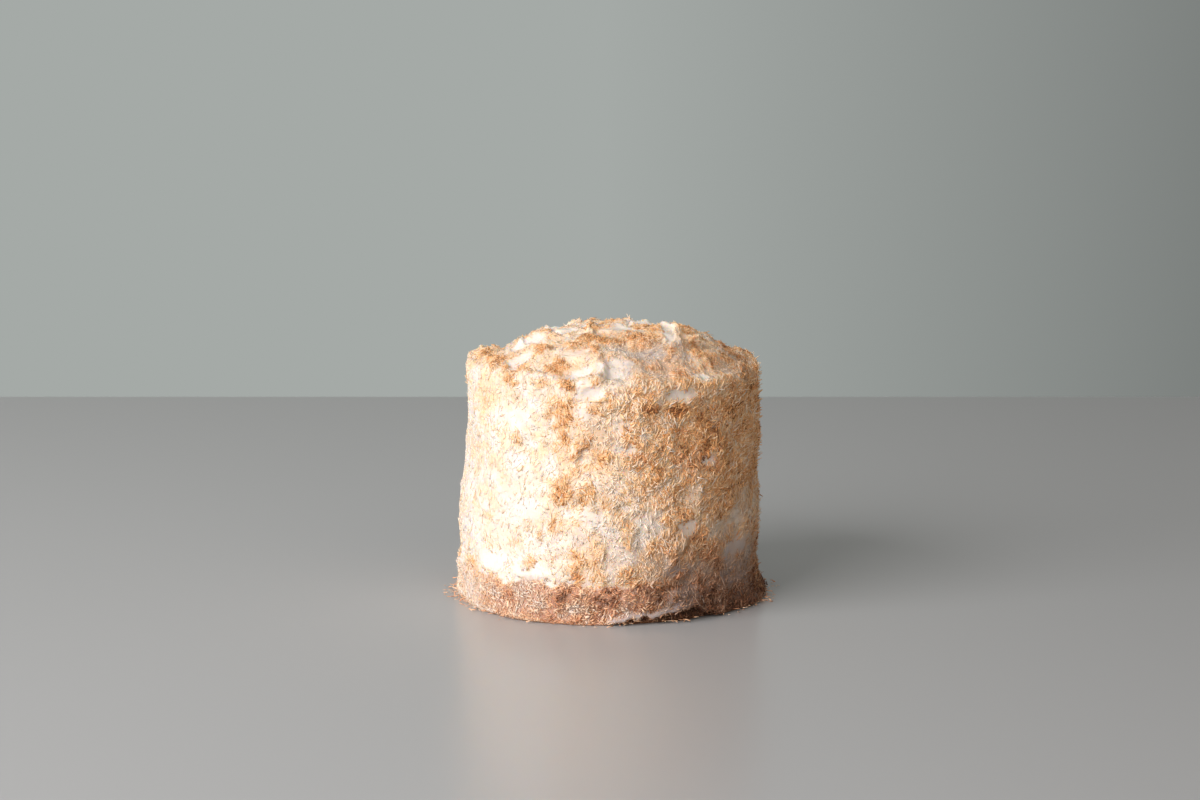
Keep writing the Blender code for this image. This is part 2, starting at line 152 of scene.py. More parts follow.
GOLD_ON_TOP = (
    (-46.8, -2.0, 2.8, 4.4, 0.9), (-41.4, -26.8, 3.6, 4.6, 0.95), (-25.0, -28.4, 3.0, 5.0, 0.9),
    (-20.5, -42.0, 4.6, 3.6, 0.95), (-7.5, -27.6, 8.4, 5.0, 0.85), (-6.0, -2.0, 3.0, 8.0, 0.8),
    (-29.0, -24.0, 9.0, 2.6, 0.5), (9.7, -30.3, 4.0, 6.4, 0.95), (2.2, -28.0, 3.0, 5.4, 0.7),
    (20.7, -34.0, 3.0, 3.4, 0.8), (31.8, -27.8, 3.6, 5.4, 0.95), (11.4, -52.0, 5.0, 2.6, 1.0),
    (24.8, -44.8, 5.6, 3.4, 1.0), (43.0, -33.0, 2.0, 2.2, 0.95), (12.5, -5.0, 4.4, 8.0, 0.8),
    (40.0, -35.0, 8.0, 2.6, 0.5), (46.0, 5.0, 5.0, 6.0, 0.75), (15.0, -43.0, 6.4, 4.4, 0.45),
    (-28.0, 2.0, 4.0, 6.0, 0.6), (-8.0, 20.0, 6.0, 7.0, 0.8), (22.0, 32.0, 7.0, 4.0, 0.8),
    (-30.0, 36.0, 7.0, 4.4, 0.8), (46.0, 20.0, 4.0, 7.0, 0.75), (4.0, 48.0, 8.0, 3.0, 0.8),
)

# The darkest crevices in the coat, laid out in the same way: there the coconut is browner, and the frosting is
# darkened with painted shade.
DEEP_ON_SIDE = (
    (14.0, 76.8, 4.0, 1.4, 1.0), (24.0, 75.6, 5.4, 1.5, 1.0), (-12.0, 62.0, 1.4, 1.4, 0.6),
    (-14.0, 59.0, 1.4, 1.4, 0.7), (-16.0, 84.2, 1.8, 1.2, 0.8), (22.0, 12.7, 6.6, 1.0, 0.5),
    (-17.0, 10.7, 1.8, 1.4, 0.8), (-14.0, 47.6, 1.4, 2.6, 0.4), (60.0, 4.0, 14.0, 3.0, 0.5),
    (47.0, 62.0, 2.6, 5.4, 0.3), (150.0, 60.0, 4.0, 2.0, 0.6), (205.0, 66.0, 4.0, 2.0, 0.6),
)


def size_property(name, description, default, **more):
    """A length that a user can change, in metres."""
    return FloatProperty(name=name, description=description, default=default, unit="LENGTH",
                         precision=5, **more)


def share_property(name, description, default):
    """A share from 0 to 1 that a user can change."""
    return FloatProperty(name=name, description=description, default=default, min=0.0, max=1.0,
                         subtype="FACTOR")


def angle_property(name, description, degrees):
    """An angle that a user can change, kept in radians."""
    return FloatProperty(name=name, description=description, default=math.radians(degrees),
                         subtype="ANGLE")


def colour_property(name, description, default):
    """A colour that a user can change."""
    return FloatVectorProperty(name=name, description=description, default=default, size=3,
                               min=0.0, max=1.0, subtype="COLOR")


class CakeForm(bpy.types.PropertyGroup):
    """The cake's own sizes, which are those of its solid."""

    side_radius: size_property("Side radius", "Radius of the side at the foot", 55.1 * MM)
    side_taper: size_property("Side taper", "How much narrower the side is at the rim", 0.6 * MM)
    foot_offset: size_property("Foot offset", "Where the foot's centre is along X", -1.3 * MM)
    side_tuck: size_property("Side tuck", "How far the side is drawn in below the rim", 1.3 * MM)
    lean: size_property("Lean", "How far the rim's centre is to the right of the foot's", 1.9 * MM)
    rim_height: size_property("Rim height", "Height of the rim", 86.0 * MM)
    dome_height: size_property("Dome height", "Height of the top's middle", 99.4 * MM)
    dome_fall: size_property("Dome fall", "How far the top falls towards the rim", 9.3 * MM)
    dome_fall_radius: size_property("Dome fall radius", "Radius where it has fallen that far", 47.0 * MM)
    dome_power: FloatProperty(name="Dome flatness", description="Higher is flatter in the middle",
                              default=2.8, min=1.0, max=8.0)
    shoulder: size_property("Shoulder", "Radius of the rounding at the rim", 3.2 * MM)
    band_height: size_property("Foot band height", "Height of the coconut band at the foot", 13.5 * MM)
    band_depth: size_property("Foot band depth", "How proud of the side the band is", 1.0 * MM)
    band_edge: size_property("Foot band edge", "Height over which the band thins out", 1.6 * MM)
    clump_azimuth: angle_property("Foot clump azimuth", "Where the heap at the foot is", 82.0)
    clump_spread: angle_property("Foot clump spread", "Half the heap's spread round the foot", 24.0)
    clump_height: size_property("Foot clump height", "Height of the heap", 8.0 * MM)
    clump_depth: size_property("Foot clump depth", "How far the heap sticks out", 3.2 * MM)
    tear_start: angle_property("Tear start", "Azimuth where the frosting's torn edge starts", -5.0)
    tear_peak: angle_property("Tear peak", "Azimuth where it is highest", 29.0)
    tear_end: angle_property("Tear end", "Azimuth where it ends", 56.0)
    tear_height: size_property("Tear height", "Height of the torn edge at its peak", 5.2 * MM)
    tear_depth: size_property("Tear depth", "Depth of the recess below the torn edge", 2.4 * MM)
    tear_lip: size_property("Tear lip", "How far the torn edge curls out", 1.4 * MM)
    curl_azimuth: angle_property("Rim curl azimuth", "Where the raised curl on the rim is", -92.0)
    curl_radius: size_property("Rim curl radius", "Its distance from the axis", 49.0 * MM)
    curl_height: size_property("Rim curl height", "How high it stands", 3.4 * MM)
    curl_width: size_property("Rim curl width", "Its size across the rim", 3.4 * MM)
    curl_length: size_property("Rim curl length", "Its size along the rim", 6.0 * MM)


class FrostingLook(bpy.types.PropertyGroup):
    """The knife's marks and the frosting's finish."""

    swipe_edge: size_property("Swipe edge", "Width of the edge of a swipe", 1.1 * MM)
    swipe_lip: size_property("Swipe lip", "Height of the lip along a swipe's outer edge", 1.2 * MM)
    drag_pitch: size_property("Drag pitch", "Distance between the fine ridges in a swipe", 1.7 * MM)
    drag_height: size_property("Drag height", "Height of those ridges", 0.14 * MM)
    smear_height: size_property("Smear height", "Height of the knife's smears in bare frosting", 0.12 * MM)
    cluster_height: size_property("Cluster height", "How proud a cluster of coconut is", 0.6 * MM)
    patch_depth: size_property("Patch depth", "Depth of a bare patch below the coat", 0.35 * MM)
    patch_lip: size_property("Patch lip", "Height of the lip round a bare patch", 0.4 * MM)
    lump_height: size_property("Lump height", "Height of the lumps under the coconut", 0.5 * MM)
    tuft_height: size_property("Tuft height", "Height of the tufts in the band at the foot", 0.75 * MM)
    grit_height: size_property("Grit height", "Height of the finest grit", 0.28 * MM)
    white: colour_property("Frosting", "Colour of the bare frosting", (0.785, 0.74, 0.71))
    dusted: colour_property("Dusted", "Colour where pale crumbs dust it", (0.90, 0.62, 0.37))
    crusted: colour_property("Crusted", "Colour where brown crumbs crust it", (0.74, 0.38, 0.16))
    foot_crust: colour_property("Foot crust", "Colour between the shreds at the foot", (0.73, 0.42, 0.27))
    # Multiplies the frosting's colour where it has the pinkish tint: a greyish mauve at the foot, and painted shade
    # low on the right and in a hollow on the top's front right.
    dulled_and_shaded: colour_property("Dulled", "What the colour is multiplied by near the foot", (0.60, 0.54, 0.56))
    # Painted shade: what the frosting's colour is multiplied by in crevices, in the recess under the torn edge and
    # along the bottom of the foot on the right.
    crevice_shade_colour: colour_property("Gloomy", "What it is multiplied by deep in a crevice", (0.42, 0.26, 0.15))
    roughness: share_property("Roughness", "Roughness of the bare frosting", 0.42)
    glow: share_property("Glow", "How much light goes through it", 0.8)


class CoconutLook(bpy.types.PropertyGroup):
    """The shreds' sizes, numbers and colours."""

    length: size_property("Length", "Length of a middling shred", 2.0 * MM)
    width: size_property("Width", "Width of a middling shred", 0.55 * MM)
    thickness: size_property("Thickness", "Thickness of a middling shred", 0.36 * MM)
    pale_count: IntProperty(name="Pale shreds", description="How many", default=38000)
    golden_count: IntProperty(name="Golden shreds", description="How many", default=24000)
    toasted_count: IntProperty(name="Toasted shreds", description="How many", default=16000)
    crumb_count: IntProperty(name="Crumbs", description="How many fine crumbs", default=42000)
    long_count: IntProperty(name="Long shreds", description="How many of the longest", default=8500)
    flake_count: IntProperty(name="Flakes", description="How many broad flakes", default=900)
    foot_count: IntProperty(name="Foot shreds", description="How many in the band at the foot", default=48000)
    loose_count: IntProperty(name="Loose shreds", description="How many lie round the foot", default=280)
    loose_reach: size_property("Loose reach", "How far from the foot they lie", 6.0 * MM)
    loose_height: size_property("Loose height", "How high the lowest of them lie", 0.2 * MM)
    raw: colour_property("Raw", "Colour of untoasted coconut", (0.91, 0.83, 0.79))
    blond: colour_property("Blond", "Colour of barely toasted coconut", (0.96, 0.76, 0.575))
    golden: colour_property("Golden", "Colour of golden coconut", (0.98, 0.612, 0.325))
    brown: colour_property("Brown", "Colour of well toasted coconut", (0.82, 0.38, 0.14))
    dark: colour_property("Dark", "Colour of the darkest edges", (0.28, 0.12, 0.05))
    # Painted shade: what the coat's colour is multiplied by low on the right side and on the front of the terrace at
    # the top's right.
    shaded: colour_property("Shaded", "What the coat's colour is multiplied by low on the right", (0.42, 0.39, 0.41))
    rosy_raw: colour_property("Rosy raw", "Untoasted coconut at the foot", (0.92, 0.80, 0.72))
    rosy_blond: colour_property("Rosy blond", "Barely toasted coconut at the foot", (0.94, 0.71, 0.55))
    rosy_golden: colour_property("Rosy golden", "Golden coconut at the foot", (0.93, 0.56, 0.35))
    rosy_brown: colour_property("Rosy brown", "Brown coconut at the foot", (0.68, 0.31, 0.17))
    rosy_dark: colour_property("Rosy dark", "Darkest coconut at the foot", (0.20, 0.09, 0.05))
    roughness: share_property("Roughness", "Roughness of the shreds", 0.55)
    glow: share_property("Glow", "How much light goes through them", 0.35)


class StudioSetup(bpy.types.PropertyGroup):
    """The floor, the light and the camera."""

    table_half: size_property("Table half width", "Half the table's width", 0.49)
    table_colour: colour_property("Table", "Colour of the table", (0.40, 0.425, 0.455))
    wall_colour: colour_property("Wall", "Colour of what is behind the table", (0.376, 0.402, 0.386))
    wall_distance: size_property("Wall distance", "How far behind the cake the wall is", 2.6)
    wall_half: size_property("Wall half width", "Half the wall's width and its height", 2.2)
    room_colour: colour_property("Room", "Colour of the soft light all round", (0.255, 0.235, 0.21))
    key_power: FloatProperty(name="Key power", description="Power of the main light", default=36.5,
                             min=0.0, unit="POWER")
    key_azimuth: angle_property("Key azimuth", "Where the main light stands", -48.0)
    key_elevation: angle_property("Key elevation", "How high the main light stands", 24.0)
    key_distance: size_property("Key distance", "Distance of the main light", 1.5)
    key_size: size_property("Key size", "Width of the main light", 1.3)
    fill_power: FloatProperty(name="Fill power", description="Power of the light from the right",
                              default=4.0, min=0.0, unit="POWER")
    camera_distance: size_property("Camera distance", "How far in front of the cake it stands", 0.8457)
    camera_height: size_property("Camera height", "Its height above the table", 0.200)
    camera_side: size_property("Camera offset", "Its place along X", -0.0039)
    camera_pitch: angle_property("Camera pitch", "How far it looks down", 8.6)
    lens: FloatProperty(name="Lens", description="Focal length", default=69.0, unit="CAMERA")


def settings():
    """The scene's cake settings."""
    return bpy.context.scene.coconut_cake


class CakeSettings(bpy.types.PropertyGroup):
    """Everything a user can change."""

    form: PointerProperty(type=CakeForm)
    frosting: PointerProperty(type=FrostingLook)
    coconut: PointerProperty(type=CoconutLook)
    studio: PointerProperty(type=StudioSetup)


def smooth_step(value):
    """0 below 0, 1 above 1, and a smooth rise between."""
    clipped = np.clip(value, 0.0, 1.0)
    return clipped * clipped * (3.0 - 2.0 * clipped)


def turn_between(azimuth, centre):
    """Signed degrees from centre to azimuth, from -180 to 180."""
    return np.mod(azimuth - centre + 180.0, 360.0) - 180.0


def lumps(x, y, z, size, height, seed, waves=8):
    """Smooth unevenness from a few crossed waves."""
    draw = np.random.default_rng(seed)
    directions = draw.normal(size=(waves, 3))
    directions /= np.linalg.norm(directions, axis=1)[:, None]
    pitches = size * draw.uniform(0.75, 1.4, waves)
    phases = draw.uniform(0.0, math.tau, waves)
    total = 0.0
    for (dx, dy, dz), pitch, phase in zip(directions, pitches, phases):
        total = total + np.sin(math.tau * (dx * x + dy * y + dz * z) / pitch + phase)
    return height * total / math.sqrt(waves / 2)


def blotches(x, y, z, size, seed):
    """Random blotches from -1 to 1, each about as large as size, from values at the corners of a grid."""
    spots = np.stack(np.broadcast_arrays(x, y, z), axis=-1) / size
    corner = np.floor(spots).astype(np.int64)
    share = spots - corner
    share = share * share * (3.0 - 2.0 * share)
    total = np.zeros(spots.shape[:-1])
    for i in (0, 1):
        for j in (0, 1):
            for k in (0, 1):
                cell = corner + np.array((i, j, k))
                mixed = cell[..., 0] * 73856093 ^ cell[..., 1] * 19349663 ^ cell[..., 2] * 83492791
                mixed = (mixed ^ seed * 2654435761) & 0xFFFFFFFF
                mixed = ((mixed ^ mixed >> 15) * 2246822519) & 0xFFFFFFFF
                mixed = ((mixed ^ mixed >> 13) * 3266489917) & 0xFFFFFFFF
                value = (mixed ^ mixed >> 16) / 0xFFFFFFFF * 2.0 - 1.0
                weight = np.ones(spots.shape[:-1])
                for axis, side in enumerate((i, j, k)):
                    weight = weight * (share[..., axis] if side else 1.0 - share[..., axis])
                total = total + value * weight
    return total


def place(azimuth, radius, height):
    """Cylinder coordinates to x, y and z, with the cake's lean."""
    form = settings().form
    angle = np.radians(azimuth)
    offset = form.foot_offset + form.lean * height / form.rim_height
    return offset + radius * np.sin(angle), -radius * np.cos(angle), height


def dome(radius):
    """Height of the top before it was swiped."""
    form = settings().form
    return form.dome_height - form.dome_fall * (radius / form.dome_fall_radius) ** form.dome_power


def swiped(height, x, y, radius):
    """The top after every swipe of the knife, each laid over those before it."""
    look = settings().frosting
    edge, lip_height = look.swipe_edge / MM, look.swipe_lip / MM
    ragged = 1.3 * blotches(x, y, 0.0, 5 * MM, 51) + 0.6 * blotches(x, y, 0.0, 2 * MM, 52)
    for number, swipe in enumerate(SWIPES):
        centre_x, centre_y, arc_radius, width, start, end, level, tilt, pile = swipe
        off_x, off_y = x / MM - centre_x, y / MM - centre_y
        out = np.hypot(off_x, off_y) - arc_radius + ragged
        middle = (start + end) / 2
        turned = turn_between(np.degrees(np.arctan2(off_x, -off_y)), middle)
        along = np.radians(turned) * arc_radius + ragged
        reach = math.radians(end - start) * arc_radius / 2
        inside = smooth_step((width / 2 - np.abs(out)) / edge + 0.5)
        inside = inside * smooth_step((reach - along) / edge + 0.5)
        inside = inside * smooth_step((reach + along) / (4 * edge))
        piled = pile * np.clip((along + reach) / (2 * reach), 0.0, 1.0) ** 4
        end_lip = np.exp(-(((along - reach + edge / 2) / edge) ** 2))
        lip = lip_height * (np.exp(-(((out - width / 2 + edge / 2) / edge) ** 2)) + 0.7 * end_lip)
        drag = look.drag_height / MM * np.sin(math.tau * out * MM / look.drag_pitch + 2.4 * number)
        laid = dome(radius) + (level - tilt * out / (width / 2) + piled + lip + drag) * MM
        height = height + (laid - height) * inside
    return height


def away_from(spot, centre, radius):
    """Millimetres from a centre: round the side where a radius is given, as both are azimuths then."""
    if radius:
        return np.radians(turn_between(spot, centre)) * radius / MM
    return spot / MM - centre


def folded(table, first, second, radius, spot):
    """Height that the folds of frosting in a table add at each place."""
    added = 0.0
    shift_first = 0.7 * blotches(*spot, 4 * MM, 53)
    shift_second = 0.7 * blotches(*spot, 4 * MM, 54)
    for centre_first, centre_second, heading, half_length, height, left_width, right_width in table:
        angle = math.radians(heading)
        off_first = away_from(first, centre_first, radius) + shift_first
        off_second = second / MM - centre_second + shift_second
        along = off_first * math.cos(angle) + off_second * math.sin(angle)
        left = off_second * math.cos(angle) - off_first * math.sin(angle)
        width = np.where(left > 0.0, left_width, right_width)
        crest = np.exp(-((along / half_length) ** 4))
        added = added + height * MM * crest * np.exp(-((left / width) ** 2))
    return added


def top_height(azimuth, radius):
    """Height of the top at any place on it."""
    form = settings().form
    x, y, _ = place(azimuth, radius, 0.0)
    height = swiped(dome(radius), x, y, radius)
    across = (radius - form.curl_radius) / form.curl_width
    off = turn_between(azimuth, math.degrees(form.curl_azimuth))
    along = np.radians(off) * radius / form.curl_length
    height = height + form.curl_height * np.exp(-(across**2) - along**2)
    height = height + folded(FOLDS_ON_TOP, x, y, 0.0, (x, y, 0.0))
    height = height + lumps(x, y, 0.0, 19.0 * MM, 0.45 * MM, 21)
    return height + lumps(x, y, 0.0, 8.0 * MM, 0.25 * MM, 22)


def tear_height(azimuth):
    """Height of the torn lower edge of the frosting, which is 0 where it isn't torn."""
    form = settings().form
    start, peak, end = (math.degrees(a) for a in (form.tear_start, form.tear_peak, form.tear_end))
    rise = smooth_step(turn_between(azimuth, start) / (peak - start))
    fall = smooth_step(turn_between(end, azimuth) / (end - peak))
    wave = 1.8 * blotches(np.radians(azimuth) * form.side_radius, 0.0, 0.0, 7.0 * MM, 62)
    wave = wave + 1.3 * blotches(np.radians(azimuth) * form.side_radius, 0.0, 0.0, 2.6 * MM, 63)
    level = form.tear_height * rise * fall
    return np.maximum(level + wave * MM * smooth_step(level / (2 * MM)), 0.0)


def side_radius(azimuth, height):
    """Radius of the side at any place on it."""
    form = settings().form
    x, y, z = place(azimuth, form.side_radius, height)
    radius = form.side_radius - form.side_taper * height / form.rim_height
    below_rim = smooth_step((form.rim_height - height) / (8 * MM))
    radius = radius - form.side_tuck * smooth_step((height - 34 * MM) / (14 * MM)) * below_rim
    radius = radius + lumps(x, y, z, 36.0 * MM, 0.45 * MM, 11) + lumps(x, y, z, 13.0 * MM, 0.25 * MM, 12)
    radius = radius + folded(FOLDS_ON_SIDE, azimuth, height, form.side_radius, (x, y, z))
    ragged = 1.2 * MM * blotches(x, y, z, 4 * MM, 61)
    radius = radius + form.band_depth * smooth_step((form.band_height + ragged - height) / form.band_edge)
    off = turn_between(azimuth, math.degrees(form.clump_azimuth)) / math.degrees(form.clump_spread)
    radius = radius + form.clump_depth * np.exp(-(off**4)) * smooth_step(1.0 - height / form.clump_height)
    torn = tear_height(azimuth)
    there = smooth_step(torn / (1.5 * MM))
    radius = radius - form.tear_depth * there * smooth_step((torn - height) / (1.0 * MM))
    return radius + form.tear_lip * there * np.exp(-(((height - torn - 0.4 * MM) / (1.1 * MM)) ** 2))


def patches(table, across, along, radius, sharpness):
    """The strongest of the patches in a table at each place, from 0 to 1."""
    strongest = 0.0
    for first, second, half_first, half_second, strength in table:
        away = away_from(across, first, radius)
        nearness = (away / half_first) ** 2 + ((along / MM - second) / half_second) ** 2
        strongest = np.maximum(strongest, strength * np.exp(-(nearness**sharpness)))
    return strongest


def side_or_top(side_table, top_table, spot, wobble, on_top, sharpness):
    """How strong the patches of two tables are at each spot, on the side and on top."""
    azimuth, x, y, z = spot
    along, across = wobble * blotches(x, y, z, 3.2 * MM, 71), wobble * blotches(x, y, z, 3.2 * MM, 72)
    radius = settings().form.side_radius
    side = patches(side_table, azimuth + np.degrees(along / radius), z + across, radius, sharpness)
    side = side * smooth_step(2.0 - 2.0 * on_top)
    if not top_table:
        return side
    top = patches(top_table, x + along, y + across, 0.0, sharpness)
    return np.maximum(side, top * smooth_step(2.0 * on_top))


def coat_fields(azimuth, x, y, z, on_top):
    """What the coat is like at each place: how bare, how thick with toasted coconut, how stained by it, how brown, how
    much it is part of the band at the foot, how pink its tint is (at the foot and in blushes its own, and painted
    shade low on the right and in a hollow on top), how much painted shade it gets in crevices and recesses, and how
    much painted shade low on the right and on the top's terrace, each from 0 to 1."""
    form = settings().form
    spot = (azimuth, x, y, z)
    bare = side_or_top(BARE_ON_SIDE, BARE_ON_TOP, spot, 1.1 * MM, on_top, 2.6) * (1.0 + 0.2 * on_top)
    crests = smooth_step((folded(FOLDS_ON_TOP, x, y, 0.0, (x, y, 0.0)) - 0.9 * MM) / (0.4 * MM))
    bare = np.maximum(bare, 0.9 * crests * smooth_step(2.0 * on_top - 0.8))
    clusters = side_or_top(GOLD_ON_SIDE, GOLD_ON_TOP, spot, 2.8 * MM, on_top, 1.15)
    deep = side_or_top(DEEP_ON_SIDE, (), spot, 1.0 * MM, on_top, 1.5)
    near_left = np.exp(-((turn_between(azimuth, -58.0) / 46.0) ** 4))
    near_right = np.exp(-((turn_between(azimuth, 62.0) / 56.0) ** 4))
    upper = smooth_step((z - 30 * MM) / (25 * MM))
    unseen = smooth_step((np.abs(turn_between(azimuth, 0.0)) - 75.0) / 20.0)
    # The terrace at the top's right: more toasted coconut there, and painted shade at its front.
    terrace = smooth_step((x - 36 * MM) / (9 * MM)) * on_top
    # Less toasted coconut on the left, partly the coat's own and partly painted light, as there the main light falls
    # full on it.
    base_side = 0.38 - 0.33 * near_left + near_right * (0.38 * upper + 0.05)
    # A hollow on the top's front right, given painted shade: less toasted coconut and the pinkish mauve tint.
    shaded_hollow = np.exp(-(((x - 16 * MM) / (13 * MM)) ** 4) - ((y + 38 * MM) / (9 * MM)) ** 4) * on_top
    base_top = 0.3 + 0.08 * x / (50 * MM) + 0.25 * terrace + 0.24 * blotches(x, y, z, 11 * MM, 67) - 0.1 * shaded_hollow
    base = base_side * (1.0 - on_top) + base_top * on_top
    mottle = 0.13 * blotches(x, y, z, 15 * MM, 75)
    mottle = mottle + 0.22 * unseen * blotches(x + 0.6 * z, y - 0.5 * z, z + 0.4 * (x - y), 14 * MM, 70)
    mottle = mottle + 0.24 * blotches(x, y, z, 6 * MM, 73) + 0.18 * blotches(x, y, z, 2.8 * MM, 74)
    gold = np.maximum(base + mottle, clusters + (0.4 + 0.5 * on_top) * mottle)
    faint = smooth_step(0.5 + 0.7 * blotches(x, y, z, 7 * MM, 68) + 0.5 * blotches(x, y, z, 3 * MM, 69))
    stain = np.maximum(smooth_step(1.5 * gold - 0.02), (0.4 + 0.35 * upper) * faint)
    gold = 0.3 * np.clip(gold, 0.0, 1.0) + 0.7 * smooth_step((gold - 0.22) / 0.5)
    # Low on the right side, where the coat is given painted shade: browner coconut and the pinkish mauve tint.
    lower_right = near_right * smooth_step((36 * MM - z) / (20 * MM)) * (1.0 - on_top)
    brown = 0.19 + 0.22 * gold + 0.12 * smooth_step((azimuth - 10.0) / 30.0) - 0.03 * near_left + 0.5 * mottle
    brown = brown + 0.06 * lower_right + 0.05 * on_top

    ragged = 2.4 * MM * blotches(x, y, z, 7 * MM, 76) + 1.4 * MM * blotches(x, y, z, 2.4 * MM, 77)
    faded = 1.0 - 0.7 * np.exp(-((turn_between(azimuth, 52.0) / 34.0) ** 4))
    band = smooth_step((form.band_height + 1.2 * MM + ragged - z) / (2.0 * MM)) * (1.0 - on_top) * faded
    cream = np.exp(-((turn_between(azimuth, -76.0) / 24.0) ** 4))
    rosy = band * (0.55 + 0.45 * smooth_step((azimuth + 25.0) / 30.0)) * (1.0 - 0.6 * cream)
    band = band * (1.0 - 0.45 * cream)
    torn = tear_height(azimuth)
    there = smooth_step(torn / (1.5 * MM)) * (1.0 - on_top)
    thick = (1.2 + 0.5 * blotches(x, y, z, 3.4 * MM, 79)) * MM
    lip = there * np.exp(-(((z - torn - 0.7 * MM) / thick) ** 4))
    lip = lip * smooth_step((27.0 - azimuth) / 5.0) * smooth_step(1.2 + 1.4 * blotches(x, y, z, 4 * MM, 78))
    recess = there * smooth_step((torn - z) / (0.8 * MM))
    # The recess under the torn edge is made thick with toasted coconut, partly as painted shade.
    gold = gold + recess * (0.9 - gold)
    spots = smooth_step((blotches(x, y, z, 2.4 * MM, 65) - 0.15) / 0.4)
    brown = brown + (0.2 + 0.08 * near_right) * gold * spots
    # Crevices and the recess are browned, partly as toasting and partly as painted shade.
    brown = brown + np.maximum(deep, 0.8 * recess) * (1.1 - brown)
    foot_left = np.exp(-((turn_between(azimuth, -66.0) / 30.0) ** 2))
    foot_right = smooth_step((azimuth - 22.0) / 24.0) * smooth_step((150.0 - azimuth) / 30.0)
    patchy = 0.22 * blotches(x, y, z, 7 * MM, 64) + 0.34 * blotches(x, y, z, 3 * MM, 63)
    brown = brown + band * (0.25 - 0.18 * foot_left - 0.3 * cream + 0.06 * foot_right + patchy)
    # Painted shade: the coat is darkened low on the right side, more so near the foot, and on the front of the terrace
    # at the top's right.
    dim = smooth_step((azimuth - 8.0) / 20.0) * smooth_step((150.0 - azimuth) / 30.0) * (1.0 - on_top)
    shade = 0.8 * smooth_step((31 * MM - z) / (24 * MM)) + 0.25 * smooth_step((57 * MM - z) / (14 * MM))
    shade = np.maximum(dim * shade, 0.5 * terrace * smooth_step((6 * MM - y) / (14 * MM)))
    # At the golden heap on the foot's right, the painted shade and the pinkish tint are lessened.
    amber = np.exp(-((turn_between(azimuth, 82.0) / 9.0) ** 2) - ((z - 9 * MM) / (6 * MM)) ** 2)
    shade = shade * (1.0 - 0.6 * amber)
    # Painted shade: the frosting is darkened in crevices, in the recess under the torn edge and along the bottom of
    # the foot on the right.
    under = smooth_step((4 * MM - z) / (2.5 * MM)) * foot_right
    gloom = np.maximum(np.maximum(deep, 0.9 * recess), 0.9 * under)
    band = band * (1.0 - lip)
    bare = np.maximum(bare * (1.0 - band), 0.95 * lip)
    blushes = (0.4 - 0.3 * near_left) * smooth_step(1.6 * blotches(x, y, z, 6 * MM, 66) - 0.3)
    # The pinkish tint: at the foot and in blushes the coat's own, and painted shade low on the right and in the hollow
    # on top.
    rosy = np.maximum(np.maximum(rosy, 0.7 * lower_right), np.maximum(blushes, 0.6 * shaded_hollow)) * (1.0 - amber)
    found = {"bare": bare, "gold": gold, "stain": stain, "brown": brown, "band": band, "rosy": rosy,
             "gloom": gloom * (1.0 - lip), "shade": shade}
    return {name: np.clip(field, 0.0, 1.0) for name, field in found.items()}


def stitch(lower, upper):
    """Triangles between two rings of point numbers, which may differ in how many they hold."""
    faces = []
    i = j = 0
    while i < len(lower) or j < len(upper):
        a, b = lower[i % len(lower)], upper[j % len(upper)]
        if j == len(upper) or (i < len(lower) and (i + 1) / len(lower) <= (j + 1) / len(upper)):
            faces.append((a, lower[(i + 1) % len(lower)], b))
            i += 1
        else:
            faces.append((a, upper[(j + 1) % len(upper)], b))
            j += 1
    return faces


SIDE_ROWS = 112
SHOULDER_ROWS = 7
TOP_RINGS = 84


def frosting_rings():
    """Every ring of the frosting, foot to middle: azimuths, positions, outward directions, share on top."""
    form = settings().form
    azimuths = np.arange(COLUMNS) * 360.0 / COLUMNS
    inner = side_radius(azimuths, form.rim_height * 0.95) - form.shoulder
    rim = top_height(azimuths, inner) - form.shoulder
    edge = inner + form.shoulder
    rings = []
    for row in range(SIDE_ROWS):
        share = row / (SIDE_ROWS - 1)
        height = rim * share
        near_rim = smooth_step((share - 0.88) / 0.12)
        radius = side_radius(azimuths, height) * (1.0 - near_rim) + edge * near_rim
        rings.append((azimuths, place(azimuths, radius, height), (1.0, 0.0), 0.0))
    for step in range(1, SHOULDER_ROWS + 1):
        share = step / (SHOULDER_ROWS + 1)
        angle = math.radians(90.0) * share
        radius = edge - form.shoulder * (1.0 - math.cos(angle))
        height = rim + form.shoulder * math.sin(angle)
        direction = (math.cos(angle), math.sin(angle))
        rings.append((azimuths, place(azimuths, radius, height), direction, share))
    for ring in range(TOP_RINGS):
        share = 1.0 - ring / TOP_RINGS
        columns = COLUMNS
        for limit in (0.5, 0.25, 0.125):
            if share < limit:
                columns //= 2
        skip = COLUMNS // columns
        radius = inner[::skip] * share
        height = top_height(azimuths[::skip], radius)
        rings.append((azimuths[::skip], place(azimuths[::skip], radius, height), (0.0, 1.0), 1.0))
    return rings


def add_object(name, mesh):
    """A new object of that mesh, in the scene."""
    piece = bpy.data.objects.new(name, mesh)
    bpy.context.scene.collection.objects.link(piece)
    return piece


def store_field(mesh, name, values):
    """Keeps one number for each point of the mesh."""
    mesh.attributes.new(name, "FLOAT", "POINT").data.foreach_set("value", np.asarray(values, np.float32))


# What the frosting's points carry: how bare they are, how thick with toasted coconut, how stained by it and how brown;
# how the shreds there head and how closely they keep to that, how far they stand out and how large they are; how pink
# their tint is, which at the foot is the coat's own and low on the right and in a hollow on top is painted shade; how
# much of the band at the foot is there; how much painted shade they get deep in a crevice, in the recess under the
# torn edge and along the foot's bottom on the right; and how much painted shade they get low on the right and on the
# top's terrace.
FIELDS = ("bare", "gold", "stain", "brown", "heading", "grain", "ruffle", "fineness", "band", "gloom", "rosy",
          "shade")


